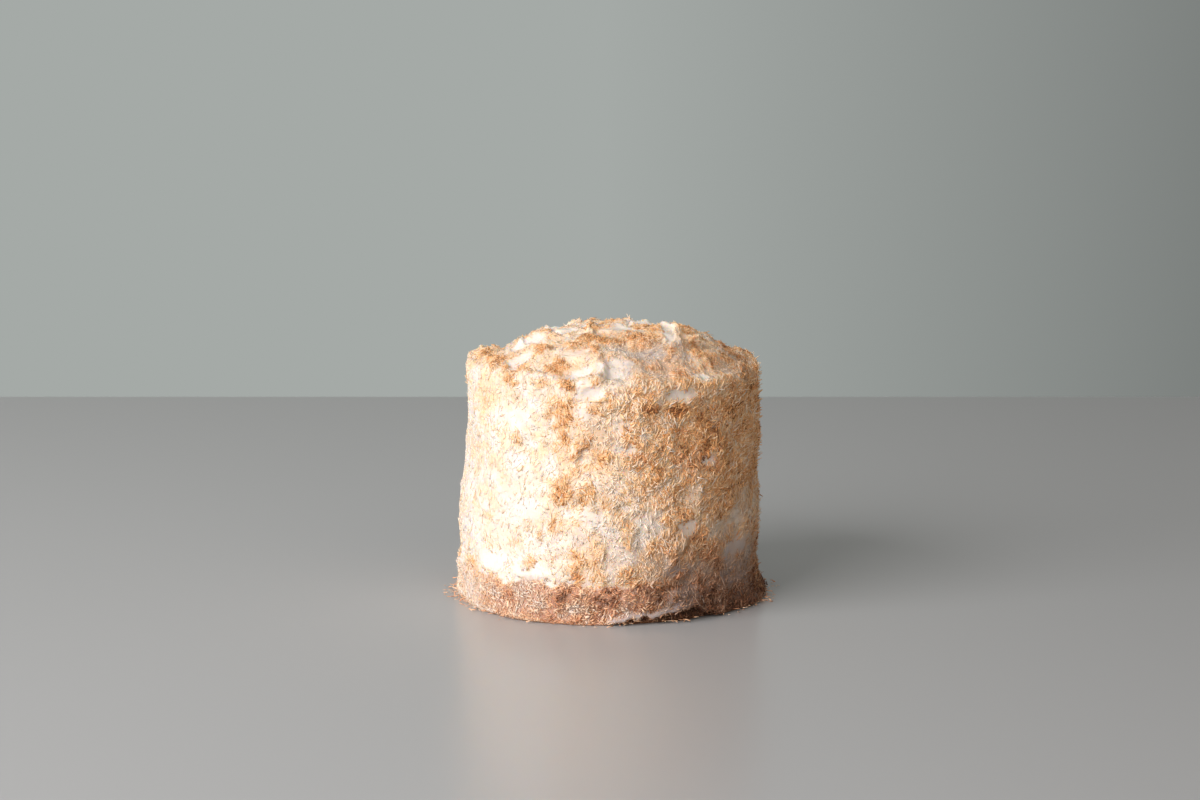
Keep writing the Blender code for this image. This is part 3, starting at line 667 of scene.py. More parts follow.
def build_frosting_mesh():
    """The whole cake's surface, with its relief and with what the coat is like at each point."""
    look = settings().frosting
    points, numbered = [], []
    fields = {name: [] for name in FIELDS}
    count = 0
    for azimuth, (x, y, z), (outward, upward), on_top in frosting_rings():
        z = np.broadcast_to(z, x.shape)
        found = coat_fields(azimuth, x, y, z, on_top)
        bare, gold, band = found["bare"], found["gold"], found["band"]
        rough = (0.7 + 0.5 * gold) * (1.0 - bare) * (1.0 + 0.2 * on_top)
        lump = look.lump_height * blotches(x, y, z, 3.4 * MM, 81)
        grit = look.grit_height * blotches(x, y, z, 1.3 * MM, 82)
        smear = look.smear_height * blotches(x, y, z * 0.35, 1.9 * MM, 83)
        cluster = look.cluster_height * gold * (1.0 - bare) * (1.0 - band) * (1.0 + 0.5 * on_top)
        tufts = look.tuft_height * blotches(x, y, z, 2.7 * MM, 86) * band
        relief = (lump + grit) * rough + smear * bare + cluster + tufts
        relief = relief - look.patch_depth * bare + look.patch_lip * 4.0 * bare * (1.0 - bare)
        relief = relief * smooth_step(z / (1.2 * MM))
        angle = np.radians(azimuth)
        ring = np.stack((
            x + relief * outward * np.sin(angle),
            y - relief * outward * np.cos(angle),
            z + relief * upward,
        ), axis=-1)
        numbered.append(range(count, count + len(x)))
        count += len(x)
        points.append(ring)
        heading = 1.1 * blotches(x, y, z, 5.5 * MM, 84) + 0.8 * blotches(x, y, z, 2.6 * MM, 85)
        low_side = (1.0 - on_top) * smooth_step((70 * MM - z) / (40 * MM)) * (1.0 - band)
        found["heading"] = heading * (1.0 + 1.5 * on_top + band)
        found["grain"] = 1.0 + 0.7 * low_side
        right = smooth_step(0.5 + 0.6 * np.sin(angle)) * (1.0 - on_top)
        found["ruffle"] = np.clip(0.27 + 0.25 * gold + 0.35 * right + 0.4 * band + 0.3 * on_top, 0.0, 1.0)
        found["fineness"] = np.full(len(x), 1.0 - 0.24 * on_top)
        for name in FIELDS:
            fields[name].append(found[name])
    faces = [tuple(reversed(numbered[0]))]
    for lower, upper in zip(numbered, numbered[1:]):
        if len(lower) == len(upper):
            total = len(lower)
            faces += [(lower[i], lower[(i + 1) % total], upper[(i + 1) % total], upper[i]) for i in range(total)]
        else:
            faces += stitch(lower, upper)
    faces.append(tuple(numbered[-1]))
    mesh = bpy.data.meshes.new("frosting")
    mesh.from_pydata(np.concatenate(points), [], faces)
    for name, values in fields.items():
        store_field(mesh, name, np.concatenate(values))
    mesh.shade_smooth()
    return mesh


def field_of(mesh, name):
    """The numbers kept for each point of the mesh."""
    values = np.empty(len(mesh.vertices), np.float32)
    mesh.attributes[name].data.foreach_get("value", values)
    return values.astype(float)


def points_of(mesh):
    """The mesh's points, as an array."""
    points = np.empty(len(mesh.vertices) * 3, np.float32)
    mesh.vertices.foreach_get("co", points)
    return points.reshape(-1, 3).astype(float)


def density_for(mesh, cover, count):
    """Shreds per square metre, where the cover is whole, that give the count in all."""
    points = points_of(mesh)
    mesh.calc_loop_triangles()
    corners = np.empty(len(mesh.loop_triangles) * 3, np.int32)
    mesh.loop_triangles.foreach_get("vertices", corners)
    a, b, c = corners.reshape(-1, 3).T
    areas = np.linalg.norm(np.cross(points[b] - points[a], points[c] - points[a]), axis=1) / 2
    total = (areas * (cover[a] + cover[b] + cover[c]) / 3).sum()
    return count / total


class Maker:
    """Adds nodes to a tree and links them up."""

    def __init__(self, tree):
        self.tree = tree

    def add(self, kind, inputs=None, **options):
        """A node with its options set, and its inputs given as values or as other sockets."""
        node = self.tree.nodes.new(kind)
        for name, value in options.items():
            setattr(node, name, value)
        for name, value in (inputs or {}).items():
            socket = node.inputs[name]
            if isinstance(value, bpy.types.NodeSocket):
                self.tree.links.new(value, socket)
            else:
                socket.default_value = value
        return node

    def math(self, operation, first, second=0.0, third=0.0, clamp=False):
        """The result of one sum on numbers."""
        node = self.add("ShaderNodeMath", {0: first, 1: second, 2: third}, operation=operation)
        node.use_clamp = clamp
        return node.outputs[0]

    def vector(self, operation, first, second=None, scale=None):
        """The result of one sum on vectors."""
        node = self.add("ShaderNodeVectorMath", {0: first}, operation=operation)
        for name, value in ((1, second), ("Scale", scale)):
            if isinstance(value, bpy.types.NodeSocket):
                self.tree.links.new(value, node.inputs[name])
            elif value is not None:
                node.inputs[name].default_value = value
        return node.outputs[0]

    def combine(self, x=0.0, y=0.0, z=0.0):
        """A vector of three numbers."""
        return self.add("ShaderNodeCombineXYZ", {"X": x, "Y": y, "Z": z}).outputs[0]

    def draw(self, low, high, seed):
        """A random number for each point."""
        node = self.add("FunctionNodeRandomValue", data_type="FLOAT")
        for index, value in ((2, low), (3, high)):
            if isinstance(value, bpy.types.NodeSocket):
                self.tree.links.new(value, node.inputs[index])
            else:
                node.inputs[index].default_value = value
        self.tree.links.new(seed, node.inputs["Seed"])
        return node.outputs[1]

    def named(self, name, data_type="FLOAT"):
        """The value of an attribute."""
        node = self.add("GeometryNodeInputNamedAttribute", {"Name": name}, data_type=data_type)
        return node.outputs["Attribute"]

    def named_fac(self, name):
        """The value of an attribute, in a material."""
        return self.add("ShaderNodeAttribute", attribute_name=name).outputs["Fac"]

    def keep(self, geometry, name, value, data_type="FLOAT"):
        """The geometry with an attribute stored on its points."""
        node = self.add("GeometryNodeStoreNamedAttribute",
                        {"Geometry": geometry, "Name": name, "Value": value}, data_type=data_type)
        return node.outputs[0]


SHRED_INPUTS = (
    ("Cover", "NodeSocketString", "cover"),
    ("Density", "NodeSocketFloat", 1000.0),
    ("Length", "NodeSocketFloat", 2.6 * MM),
    ("Width", "NodeSocketFloat", 0.7 * MM),
    ("Thickness", "NodeSocketFloat", 0.4 * MM),
    ("Segments", "NodeSocketInt", 1),
    ("Tip", "NodeSocketFloat", 0.45),
    ("Shortest", "NodeSocketFloat", 0.42),
    ("Longest", "NodeSocketFloat", 1.7),
    ("Most stray", "NodeSocketFloat", 1.1),
    ("Most tilt", "NodeSocketFloat", 0.6),
    ("Most roll", "NodeSocketFloat", 0.6),
    ("Lowest", "NodeSocketFloat", -0.1 * MM),
    ("Highest", "NodeSocketFloat", 0.5 * MM),
    ("Floor", "NodeSocketFloat", 1.5 * MM),
    ("Curl", "NodeSocketFloat", 0.15),
    ("Brown shift", "NodeSocketFloat", 0.0),
    ("Brown spread", "NodeSocketFloat", 0.2),
    ("Seed", "NodeSocketInt", 1),
    ("Material", "NodeSocketMaterial", None),
)


def sliver(make, given):
    """A three-sided sliver of coconut along X, with its place along it, from -1 to 1, kept as tmp_along."""
    rod = make.add("GeometryNodeMeshCone", {
        "Vertices": 3, "Side Segments": given["Segments"], "Radius Top": given["Tip"], "Radius Bottom": 1.0,
        "Depth": 2.0,
    }, fill_type="NGON")
    spot = make.add("ShaderNodeSeparateXYZ", {0: make.add("GeometryNodeInputPosition").outputs[0]})
    along = make.math("SUBTRACT", spot.outputs["Z"], 1.0)
    kept = make.keep(rod.outputs["Mesh"], "tmp_along", along)
    half = make.vector("SCALE", make.combine(given["Length"], given["Width"], given["Thickness"]), scale=0.5)
    turned = make.combine(along, spot.outputs["X"], spot.outputs["Y"])
    shaped = make.add("GeometryNodeSetPosition", {
        "Geometry": kept, "Position": make.vector("MULTIPLY", turned, half),
    })
    return shaped.outputs[0]


def shred_turn(make, given, normal_turn, seeds):
    """How each shred is turned: mostly downwards where the grain is strong, and lifted where ruffled."""
    turn = make.add("FunctionNodeAlignRotationToVector", {
        "Rotation": normal_turn, "Vector": (0.0, 0.0, 1.0),
    }, axis="X", pivot_axis="Z").outputs[0]
    stray = make.draw(-1.0, 1.0, seeds[2])
    spin = make.math("POWER", make.math("ABSOLUTE", stray), make.named("grain"))
    spin = make.math("MULTIPLY", make.math("MULTIPLY", spin, make.math("SIGN", stray)), given["Most stray"])
    spin = make.math("ADD", spin, make.named("heading"))
    tilt = make.math("MULTIPLY", given["Most tilt"], make.math("POWER", make.draw(0.0, 1.0, seeds[3]), 2.0))
    tilt = make.math("MULTIPLY", tilt, make.named("ruffle"))
    least_roll = make.math("MULTIPLY", given["Most roll"], -1.0)
    roll = make.draw(least_roll, given["Most roll"], seeds[4])
    for angle in (make.combine(z=spin), make.combine(y=make.math("MULTIPLY", tilt, -1.0)), make.combine(x=roll)):
        by = make.add("FunctionNodeEulerToRotation", {"Euler": angle}).outputs[0]
        turn = make.add("FunctionNodeRotateRotation", {"Rotation": turn, "Rotate By": by},
                        rotation_space="LOCAL").outputs[0]
    return turn


def bent_and_grounded(make, given, shreds):
    """The shreds, curled by what was kept for each of them, and none of them below the floor."""
    squared = make.math("POWER", make.math("ABSOLUTE", make.named("tmp_along")), 2.0)
    drop = make.math("MULTIPLY", make.math("MULTIPLY", squared, make.named("tmp_curl")), -1.0)
    swing = make.math("MULTIPLY", squared, make.named("tmp_bow"))
    bend = make.vector("ADD",
                       make.vector("SCALE", make.named("tmp_up", "FLOAT_VECTOR"), scale=drop),
                       make.vector("SCALE", make.named("tmp_side", "FLOAT_VECTOR"), scale=swing))
    shreds = make.add("GeometryNodeSetPosition", {"Geometry": shreds, "Offset": bend}).outputs[0]
    spot = make.add("ShaderNodeSeparateXYZ", {0: make.add("GeometryNodeInputPosition").outputs[0]})
    floor, z = given["Floor"], spot.outputs["Z"]
    sunk = make.math("DIVIDE", make.math("SUBTRACT", z, floor), floor)
    squashed = make.math("MULTIPLY", floor, make.math("EXPONENT", make.math("MINIMUM", sunk, 0.0)))
    level = make.math("ADD", squashed, make.math("MAXIMUM", make.math("SUBTRACT", z, floor), 0.0))
    shreds = make.add("GeometryNodeSetPosition", {
        "Geometry": shreds, "Position": make.combine(spot.outputs["X"], spot.outputs["Y"], level),
    }).outputs[0]
    tips = make.math("MULTIPLY_ADD", squared, 0.12, make.named("tmp_brown"))
    return make.keep(shreds, "toast", tips)


def shred_tree():
    """Scatters curled slivers of coconut over a surface, as dense as its cover says."""
    tree = bpy.data.node_groups.new("Scatter coconut", "GeometryNodeTree")
    tree.interface.new_socket("Geometry", in_out="INPUT", socket_type="NodeSocketGeometry")
    for name, kind, default in SHRED_INPUTS:
        socket = tree.interface.new_socket(name, in_out="INPUT", socket_type=kind)
        if default is not None:
            socket.default_value = default
    tree.interface.new_socket("Geometry", in_out="OUTPUT", socket_type="NodeSocketGeometry")
    make = Maker(tree)
    given = make.add("NodeGroupInput").outputs
    seeds = [make.math("ADD", given["Seed"], float(number)) for number in range(9)]

    spread = make.add("GeometryNodeDistributePointsOnFaces", {
        "Mesh": given["Geometry"],
        "Density": make.math("MULTIPLY", make.named(given["Cover"]), given["Density"]),
        "Seed": given["Seed"],
    }, distribute_method="RANDOM")
    highest = make.math("MULTIPLY", given["Highest"], make.named("ruffle"))
    lift = make.draw(given["Lowest"], highest, seeds[1])
    lifted = make.add("GeometryNodeSetPosition", {
        "Geometry": spread.outputs["Points"],
        "Offset": make.vector("SCALE", spread.outputs["Normal"], scale=lift),
    }).outputs[0]
    turn = shred_turn(make, given, spread.outputs["Rotation"], seeds)
    for name, axis in (("tmp_up", (0.0, 0.0, 1.0)), ("tmp_side", (0.0, 1.0, 0.0))):
        held = make.add("FunctionNodeRotateVector", {"Vector": axis, "Rotation": turn}).outputs[0]
        lifted = make.keep(lifted, name, held, "FLOAT_VECTOR")
    curl = make.math("MULTIPLY", given["Curl"], given["Length"])
    lifted = make.keep(lifted, "tmp_curl", make.draw(make.math("MULTIPLY", curl, -0.35), curl, seeds[5]))
    lifted = make.keep(lifted, "tmp_bow", make.draw(make.math("MULTIPLY", curl, -1.0), curl, seeds[6]))
    spread_here = make.math("MULTIPLY", given["Brown spread"], make.math("MULTIPLY_ADD", make.named("gold"), 0.7, 0.3))
    brown = make.math("MULTIPLY_ADD", make.draw(-1.0, 1.0, seeds[7]), spread_here, make.named("brown"))
    lifted = make.keep(lifted, "tmp_brown", make.math("ADD", brown, given["Brown shift"]))
    share = make.math("POWER", make.draw(0.0, 1.0, seeds[8]), 1.7)
    size = make.math("MULTIPLY_ADD", share, make.math("SUBTRACT", given["Longest"], given["Shortest"]),
                     given["Shortest"])
    size = make.math("MULTIPLY", size, make.named("fineness"))
    slim = make.math("MULTIPLY_ADD", size, 0.55, 0.45)
    slim = make.math("MULTIPLY", slim, make.named("fineness"))

    placed = make.add("GeometryNodeInstanceOnPoints", {
        "Points": lifted, "Instance": sliver(make, given), "Rotation": turn,
        "Scale": make.combine(size, slim, slim),
    }).outputs[0]
    real = make.add("GeometryNodeRealizeInstances", {"Geometry": placed}).outputs[0]
    real = bent_and_grounded(make, given, real)
    for pattern in ("tmp_*", "cover*", *(name for name in FIELDS if name not in ("rosy", "shade"))):
        real = make.add("GeometryNodeRemoveAttribute", {"Geometry": real, "Name": pattern},
                        pattern_mode="WILDCARD").outputs[0]
    real = make.add("GeometryNodeSetShadeSmooth", {"Geometry": real}).outputs[0]
    real = make.add("GeometryNodeSetMaterial", {"Geometry": real, "Material": given["Material"]}).outputs[0]
    tree.links.new(real, make.add("NodeGroupOutput").inputs[0])
    return tree


def scatter(name, surface, tree, values):
    """A new plain mesh object of what the tree scatters over the surface."""
    piece = add_object(name, surface)
    modifier = piece.modifiers.new("scatter", "NODES")
    modifier.node_group = tree
    sockets = {s.name: s.identifier for s in tree.interface.items_tree if s.in_out == "INPUT"}
    for label, value in values.items():
        modifier[sockets[label]] = value
    bpy.context.view_layer.update()
    graph = bpy.context.evaluated_depsgraph_get()
    made = bpy.data.meshes.new_from_object(piece.evaluated_get(graph), depsgraph=graph)
    piece.modifiers.clear()
    piece.data = made
    made.name = name
    if len(made.polygons) == 0:
        raise RuntimeError(f"{name} came out empty")
    return piece


def new_material(name):
    """A material with its Principled shader, and a maker for its nodes."""
    material = bpy.data.materials.new(name)
    material.use_nodes = True
    make = Maker(material.node_tree)
    return material, material.node_tree.nodes["Principled BSDF"], make


def frosting_material():
    """Whipped frosting: off-white, faintly see-through, dusted with crumbs where it is coated, with a mauve tint at
    the foot, and darkened with painted shade low on the right, in a hollow on top and in crevices.
    """
    look = settings().frosting
    material, shader, make = new_material("whipped_frosting")
    spot = make.add("ShaderNodeTexCoord").outputs["Object"]
    band = make.named_fac("band")
    stain = make.math("MAXIMUM", make.named_fac("stain"), band)
    mottle = make.add("ShaderNodeTexNoise", {"Vector": spot, "Scale": 420.0, "Detail": 3.0}).outputs["Fac"]
    covered = make.math("MULTIPLY_ADD", make.named_fac("bare"), -0.92, 1.0)
    stretched = make.add("ShaderNodeMapping", {"Vector": spot, "Scale": (1.0, 1.0, 0.4)}).outputs[0]
    strokes = make.add("ShaderNodeTexNoise", {
        "Vector": stretched, "Scale": 1300.0, "Detail": 2.0, "Distortion": 0.6,
    }).outputs["Fac"]
    dust = make.math("MULTIPLY", covered, stain)
    dust = make.math("MULTIPLY", dust, make.math("MULTIPLY_ADD", mottle, 0.8, 0.55))
    dust = make.math("MULTIPLY", dust, make.math("MULTIPLY_ADD", strokes, 0.8, 0.6), clamp=True)
    toasting = make.math("MULTIPLY", make.named_fac("brown"), make.named_fac("gold"))
    toasting = make.math("MULTIPLY", toasting, make.math("MULTIPLY_ADD", strokes, 1.8, -0.05), clamp=True)
    dusting = make.add("ShaderNodeMix", {
        "Factor": toasting, 6: (*look.dusted, 1.0), 7: (*look.crusted, 1.0),
    }, data_type="RGBA").outputs[2]
    crust = make.math("MULTIPLY", band, make.math("MULTIPLY_ADD", strokes, 1.6, 0.05), clamp=True)
    dusting = make.add("ShaderNodeMix", {
        "Factor": crust, 6: dusting, 7: (*look.foot_crust, 1.0),
    }, data_type="RGBA").outputs[2]
    colour = make.add("ShaderNodeMix", {
        "Factor": dust, 6: (*look.white, 1.0), 7: dusting,
    }, data_type="RGBA").outputs[2]
    # Multiplies the colour by a greyish mauve tint, which at the foot is the coat's own and low on the right and in
    # the hollow on top is painted shade; then by painted shade in crevices, in the recess and along the foot's bottom;
    # then by painted shade low on the right and on the top's terrace.
    shaded = settings().coconut.shaded
    for name, cast in (("rosy", look.dulled_and_shaded), ("gloom", look.crevice_shade_colour), ("shade", shaded)):
        colour = make.add("ShaderNodeMix", {
            "Factor": make.named_fac(name), 6: colour, 7: make.vector("MULTIPLY", colour, cast),
        }, data_type="RGBA").outputs[2]
    make.tree.links.new(colour, shader.inputs["Base Color"])
    coarse = make.add("ShaderNodeTexNoise", {"Vector": spot, "Scale": 650.0, "Detail": 4.0}).outputs["Fac"]
    height = make.math("MULTIPLY_ADD", strokes, 0.6, coarse)
    bump = make.add("ShaderNodeBump", {"Height": height, "Strength": 0.5, "Distance": 0.3 * MM})
    make.tree.links.new(bump.outputs[0], shader.inputs["Normal"])
    rough = make.math("MULTIPLY_ADD", mottle, 0.2, look.roughness - 0.1)
    make.tree.links.new(rough, shader.inputs["Roughness"])
    shader.inputs["Subsurface Weight"].default_value = look.glow
    shader.inputs["Subsurface Radius"].default_value = (1.0, 0.7, 0.42)
    shader.inputs["Subsurface Scale"].default_value = 1.8 * MM
    shader.inputs["Specular IOR Level"].default_value = 0.4
    return material


def coconut_material(name):
    """Toasted coconut: white flesh that browns towards the tips of each shred, rosier near the foot, and with painted
    shade low on the right, on the top's terrace and in a hollow on top.
    """
    look = settings().coconut
    material, shader, make = new_material(name)
    spot = make.add("ShaderNodeTexCoord").outputs["Object"]
    toast = make.named_fac("toast")
    mottle = make.add("ShaderNodeTexNoise", {"Vector": spot, "Scale": 1100.0, "Detail": 2.0}).outputs["Fac"]
    stage = make.math("ADD", toast, make.math("MULTIPLY_ADD", mottle, 0.3, -0.15))
    ramps = []
    plain = (look.raw, look.blond, look.golden, look.brown, look.dark)
    rosy = (look.rosy_raw, look.rosy_blond, look.rosy_golden, look.rosy_brown, look.rosy_dark)
    for colours in (plain, rosy):
        ramp = make.add("ShaderNodeValToRGB", {"Fac": stage})
        elements = ramp.color_ramp.elements
        while len(elements) < len(colours):
            elements.new(0.5)
        for element, position, colour in zip(elements, (0.0, 0.28, 0.52, 0.8, 1.0), colours):
            element.position = position
            element.color = (*colour, 1.0)
        ramps.append(ramp.outputs["Color"])
    # The pinkish colours: the coconut's own at the foot, and painted shade low on the right and in the hollow on top.
    colour = make.add("ShaderNodeMix", {
        "Factor": make.named_fac("rosy"), 6: ramps[0], 7: ramps[1],
    }, data_type="RGBA").outputs[2]
    # Painted shade: darker low on the right and on the top's terrace.
    colour = make.add("ShaderNodeMix", {
        "Factor": make.named_fac("shade"), 6: colour, 7: make.vector("MULTIPLY", colour, look.shaded),
    }, data_type="RGBA").outputs[2]
    make.tree.links.new(colour, shader.inputs["Base Color"])
    shader.inputs["Roughness"].default_value = look.roughness
    shader.inputs["Subsurface Weight"].default_value = look.glow
    shader.inputs["Subsurface Radius"].default_value = (1.0, 0.85, 0.7)
    shader.inputs["Subsurface Scale"].default_value = 0.25 * MM
    shader.inputs["Specular IOR Level"].default_value = 0.35
    return material


class CAKE_OT_swirl_frosting(bpy.types.Operator):
    """Builds the frosted cake's surface, with its swirls, bare patches and torn foot"""

    bl_idname = "cake.swirl_frosting"
    bl_label = "Swirl frosting"

    def execute(self, context):
        frosting = add_object("frosting", build_frosting_mesh())
        frosting.data.materials.append(frosting_material())
        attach(frosting, "root")
        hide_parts(CAKE_NODE)
        return {"FINISHED"}


class CAKE_OT_press_on_coconut(bpy.types.Operator):
    """Scatters the coat's pale, golden and toasted shreds and its fine crumbs over the frosting"""

    bl_idname = "cake.press_on_coconut"
    bl_label = "Press on coconut"

    def execute(self, context):
        look = settings().coconut
        surface = bpy.data.objects["frosting"].data
        points = points_of(surface)
        x, y, z = points.T
        bare = field_of(surface, "bare")
        gold, band = field_of(surface, "gold"), field_of(surface, "band")
        reach = 1.0 - 0.98 * np.clip((bare - 0.1) / 0.65, 0.0, 1.0) ** 0.7
        clumps = 0.5 + 0.5 * blotches(x, y, z, 4.5 * MM, 91)
        small_clumps = 0.5 + 0.5 * blotches(x, y, z, 2.4 * MM, 92)
        above = reach * (1.0 - band)
        top = smooth_step((z - 86 * MM) / (4 * MM))
        above = above * (1.0 + 0.9 * top)
        left = np.exp(-((turn_between(np.degrees(np.arctan2(x, -y)), -58.0) / 46.0) ** 4)) * (1.0 - top)
        sparse = 1.0 - 0.35 * left * (1.0 - gold)
        low = smooth_step(1.0 - z / (3 * MM))
        dusted = 0.04 + 0.5 * top + np.maximum(gold, band)
        covers = {
            "pale": above * sparse * (1.0 - 0.8 * gold) * (0.5 + 0.5 * clumps) * (1.0 - 0.4 * top)
            + 0.15 * reach * band * (1.0 - small_clumps) ** 2,
            "golden": above * gold * (0.5 + 0.5 * small_clumps),
            "toasted": above * gold**2 * (0.2 + 0.8 * small_clumps),
            "long": above * gold * (0.3 + 0.7 * clumps) * (1.0 - 0.8 * top),
            "flakes": reach * np.maximum(gold * (1.0 - top) * clumps, 0.6 * band * small_clumps),
            "foot": reach * band * (0.15 + 0.85 * small_clumps) * (1.0 + 1.5 * low),
            "crumbs": (0.05 * top + 0.95 * reach) * dusted * sparse * clumps,
        }
        kinds = (
            # name, slot, count, length, width, thickness, segments, tilt, lift, curl, brown shift, spread
            ("pale", "coconut_pale", look.pale_count, 1.1, 1.05, 1.1, 1, 1.5, (-0.12, 0.4), 0.1, -0.16, 0.2),
            ("golden", "coconut_golden", look.golden_count, 1.0, 1, 1, 1, 1.0, (-0.2, 0.25), 0.1, -0.13, 0.27),
            ("toasted", "coconut_toasted", look.toasted_count, 0.9, 1, 1, 1, 1.1, (-0.15, 0.35), 0.1, -0.03, 0.3),
            ("long", "coconut_golden", look.long_count, 1.5, 1.0, 1, 2, 1.4, (-0.05, 0.5), 0.14, -0.16, 0.3),
            ("flakes", "coconut_golden", look.flake_count, 1.1, 2.6, 1, 2, 1.0, (0.0, 0.4), 0.14, -0.04, 0.2),
            ("foot", "coconut_toasted", look.foot_count, 1.0, 1.2, 1.3, 1, 1.6, (-0.3, 0.9), 0.1, -0.1, 0.6),
            ("crumbs", "coconut_golden", look.crumb_count, 0.5, 1.0, 1, 1, 1.3, (-0.1, 0.2), 0, -0.04, 0.34),
        )
        tree = shred_tree()
        for number, kind in enumerate(kinds):
            name, slot, count, length, width, thickness, segments, tilt, lift, curl, shift, spread = kind
            store_field(surface, f"cover_{name}", covers[name])
            piece = scatter(f"coconut_{name}", surface, tree, {
                "Cover": f"cover_{name}",
                "Density": density_for(surface, covers[name], count),
                "Length": look.length * length,
                "Width": look.width * width,
                "Thickness": look.thickness * thickness,
                "Segments": segments,
                "Tip": 0.0 if name in ("pale", "foot", "crumbs") else 0.45,
                "Most tilt": tilt,
                "Lowest": lift[0] * MM,
                "Highest": lift[1] * MM,
                "Curl": curl,
                "Brown shift": shift,
                "Brown spread": spread,
                "Seed": 100 * (number + 1),
                "Material": coconut_material(f"coconut_{name}"),
            })
            surface.attributes.remove(surface.attributes[f"cover_{name}"])
            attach(piece, "root")
        return {"FINISHED"}


class CAKE_OT_drop_crumbs(bpy.types.Operator):
    """Scatters the loose coconut that lies round the foot"""

    bl_idname = "cake.drop_crumbs"
    bl_label = "Drop crumbs"

    def execute(self, context):
        look = settings().coconut
        azimuths = np.arange(0.0, 360.0, 2.0)
        foot = side_radius(azimuths, np.full(len(azimuths), 0.5 * MM))
        heap = np.exp(-((turn_between(azimuths, -76.0) / 26.0) ** 2))
        heap = heap + 0.8 * np.exp(-((turn_between(azimuths, 78.0) / 30.0) ** 2))
        points, cover = [], []
        for share in (0.0, 0.3, 0.6, 1.0):
            x, y, _ = place(azimuths, foot + share * look.loose_reach, 0.0)
            points.append(np.stack((x, y, np.full(len(x), look.loose_height)), axis=-1))
            cover.append((1.0 - share) ** 1.5 * (0.35 + 0.65 * np.minimum(heap, 1.0)))
        total = len(azimuths)
        faces = []
        for ring in range(len(points) - 1):
            near, far = ring * total, (ring + 1) * total
            for i in range(total):
                following = (i + 1) % total
                faces.append((near + i, far + i, far + following, near + following))
        ground = bpy.data.meshes.new("ground")
        ground.from_pydata(np.concatenate(points), [], faces)
        cover = np.concatenate(cover)
        store_field(ground, "cover", cover)
        for name, value in (("brown", 0.45), ("gold", 1.0), ("grain", 1.0), ("ruffle", 1.0), ("fineness", 1.0), ("rosy", 1.0), ("shade", 0.0)):
            store_field(ground, name, np.full(len(cover), value))
        piece = scatter("coconut_loose", ground, bpy.data.node_groups["Scatter coconut"], {
            "Cover": "cover",
            "Density": density_for(ground, cover, look.loose_count),
            "Length": look.length,
            "Width": look.width,
            "Thickness": look.thickness,
            "Segments": 2,
            "Most stray": math.pi,
            "Most tilt": 0.25,
            "Lowest": 0.1 * MM,
            "Highest": 0.9 * MM,
            "Floor": 0.3 * MM,
            "Curl": 0.14,
            "Brown spread": 0.25,
            "Seed": 900,
            "Material": coconut_material("coconut_loose"),
        })
        bpy.data.meshes.remove(ground)
        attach(piece, "root")
        return {"FINISHED"}


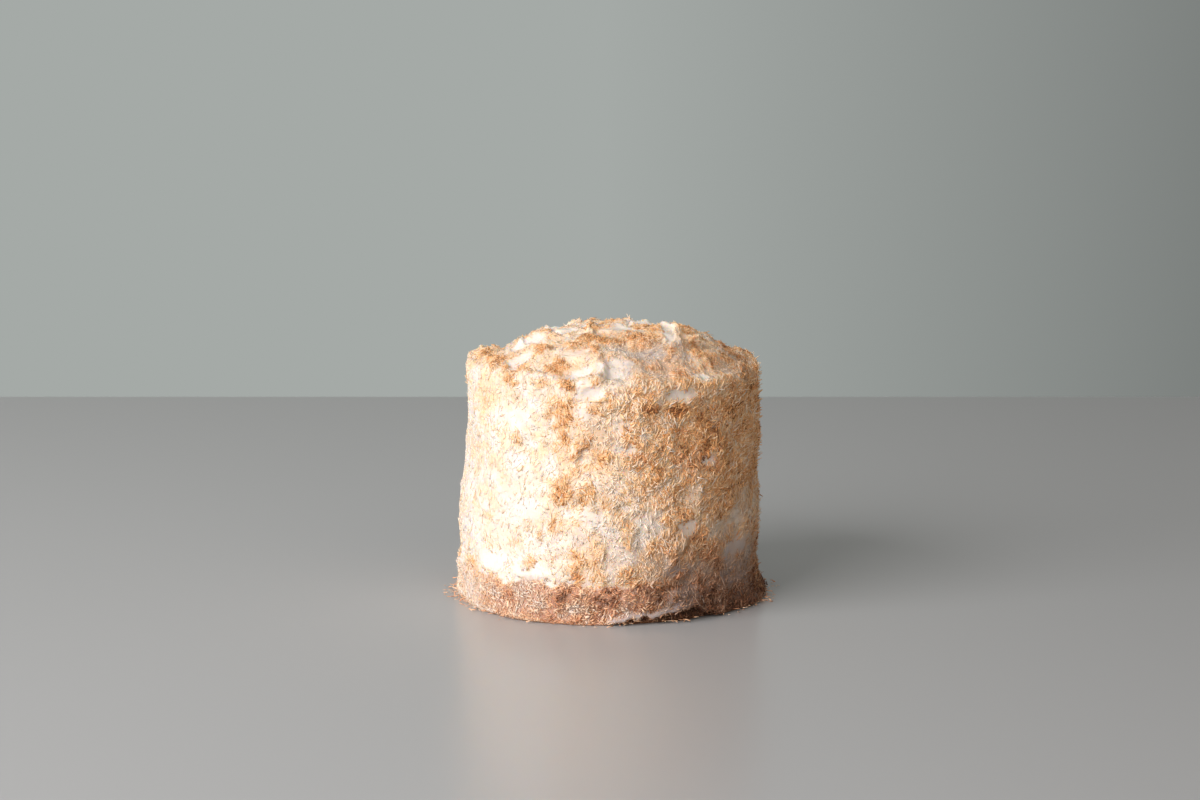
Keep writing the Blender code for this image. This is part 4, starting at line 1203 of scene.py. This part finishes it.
class CAKE_OT_set_stage(bpy.types.Operator):
    """Sets the table, the soft light and the camera"""

    bl_idname = "cake.set_stage"
    bl_label = "Set stage"

    def execute(self, context):
        studio = settings().studio
        half = studio.table_half
        corners = [(-half, -half, 0.0), (half, -half, 0.0), (half, half, 0.0), (-half, half, 0.0)]
        mesh = bpy.data.meshes.new("table")
        mesh.from_pydata(corners, [], [(0, 1, 2, 3)])
        table = add_object("table", mesh)
        table.location.z = -0.0001
        material, shader, make = new_material("pale_table")
        shader.inputs["Base Color"].default_value = (*studio.table_colour, 1.0)
        shader.inputs["Roughness"].default_value = 0.3
        mesh.materials.append(material)

        across, back = studio.wall_half, studio.wall_distance
        corners = [(-across, back, -across), (across, back, -across), (across, back, across), (-across, back, across)]
        mesh = bpy.data.meshes.new("wall")
        mesh.from_pydata(corners, [], [(0, 1, 2, 3)])
        wall = add_object("wall", mesh)
        material, shader, make = new_material("glowing_wall")
        shader.inputs["Base Color"].default_value = (0.0, 0.0, 0.0, 1.0)
        shader.inputs["Specular IOR Level"].default_value = 0.0
        # The wall is a glowing backdrop whose glow fades towards the right: a painted falloff of light.
        spot = make.add("ShaderNodeTexCoord").outputs["Object"]
        across = make.add("ShaderNodeSeparateXYZ", {0: spot}).outputs["X"]
        painted_falloff = make.add("ShaderNodeMapRange", {
            "Value": across, "From Min": 0.0, "From Max": 0.9, "To Min": 1.0, "To Max": 0.55,
        }).outputs[0]
        colour = make.vector("SCALE", studio.wall_colour, scale=painted_falloff)
        make.tree.links.new(colour, shader.inputs["Emission Color"])
        shader.inputs["Emission Strength"].default_value = 1.0
        mesh.materials.append(material)

        world = bpy.data.worlds.new("grey_room")
        world.use_nodes = True
        background = world.node_tree.nodes["Background"]
        background.inputs["Color"].default_value = (*studio.room_colour, 1.0)
        context.scene.world = world

        self.add_light("key", studio.key_azimuth, studio.key_elevation, studio.key_distance,
                       studio.key_size, studio.key_power, (1.0, 0.925, 0.87))
        self.add_light("fill", math.radians(30.0), math.radians(30.0), 1.6, 1.2,
                       studio.fill_power, (1.0, 0.86, 0.72))

        camera = bpy.data.cameras.new("camera")
        camera.lens = studio.lens
        camera.clip_start = 0.01
        view = add_object("camera", camera)
        view.location = (studio.camera_side, -studio.camera_distance, studio.camera_height)
        view.rotation_euler = Euler((math.pi / 2 - studio.camera_pitch, 0.0, 0.0))
        context.scene.camera = view
        context.scene.view_settings.view_transform = "Standard"
        return {"FINISHED"}

    def add_light(self, name, azimuth, elevation, distance, size, power, colour):
        """A square soft light that faces the cake."""
        light = bpy.data.lights.new(name, "AREA")
        light.shape = "SQUARE"
        light.size = size
        light.energy = power
        light.color = colour
        lamp = add_object(name, light)
        flat = distance * math.cos(elevation)
        away = Vector((flat * math.sin(azimuth), -flat * math.cos(azimuth), distance * math.sin(elevation)))
        lamp.location = away + Vector((0.0, 0.0, 0.05))
        lamp.rotation_euler = away.to_track_quat("Z", "Y").to_euler()


OPERATORS = (CAKE_OT_swirl_frosting, CAKE_OT_press_on_coconut, CAKE_OT_drop_crumbs, CAKE_OT_set_stage)
GROUPS = (CakeForm, FrostingLook, CoconutLook, StudioSetup, CakeSettings)


class CAKE_PT_sidebar(bpy.types.Panel):
    """Lists the cake's steps and its sizes"""

    bl_idname = "CAKE_PT_sidebar"
    bl_label = "Coconut cake"
    bl_space_type = "VIEW_3D"
    bl_region_type = "UI"
    bl_category = "Cake"

    def draw(self, context):
        for operator in OPERATORS:
            self.layout.operator(operator.bl_idname)
        for group in ("form", "frosting", "coconut", "studio"):
            values = getattr(context.scene.coconut_cake, group)
            box = self.layout.box()
            box.label(text=group.capitalize())
            for name in values.__annotations__:
                box.prop(values, name)


def register():
    for item in (*GROUPS, *OPERATORS, CAKE_PT_sidebar):
        bpy.utils.register_class(item)
    bpy.types.Scene.coconut_cake = PointerProperty(type=CakeSettings)


def unregister():
    del bpy.types.Scene.coconut_cake
    for item in reversed((*GROUPS, *OPERATORS, CAKE_PT_sidebar)):
        bpy.utils.unregister_class(item)


def main():
    register()
    bpy.ops.cake.swirl_frosting()
    bpy.ops.cake.press_on_coconut()
    bpy.ops.cake.drop_crumbs()
    bpy.ops.cake.set_stage()


if __name__ == "__main__":
    main()
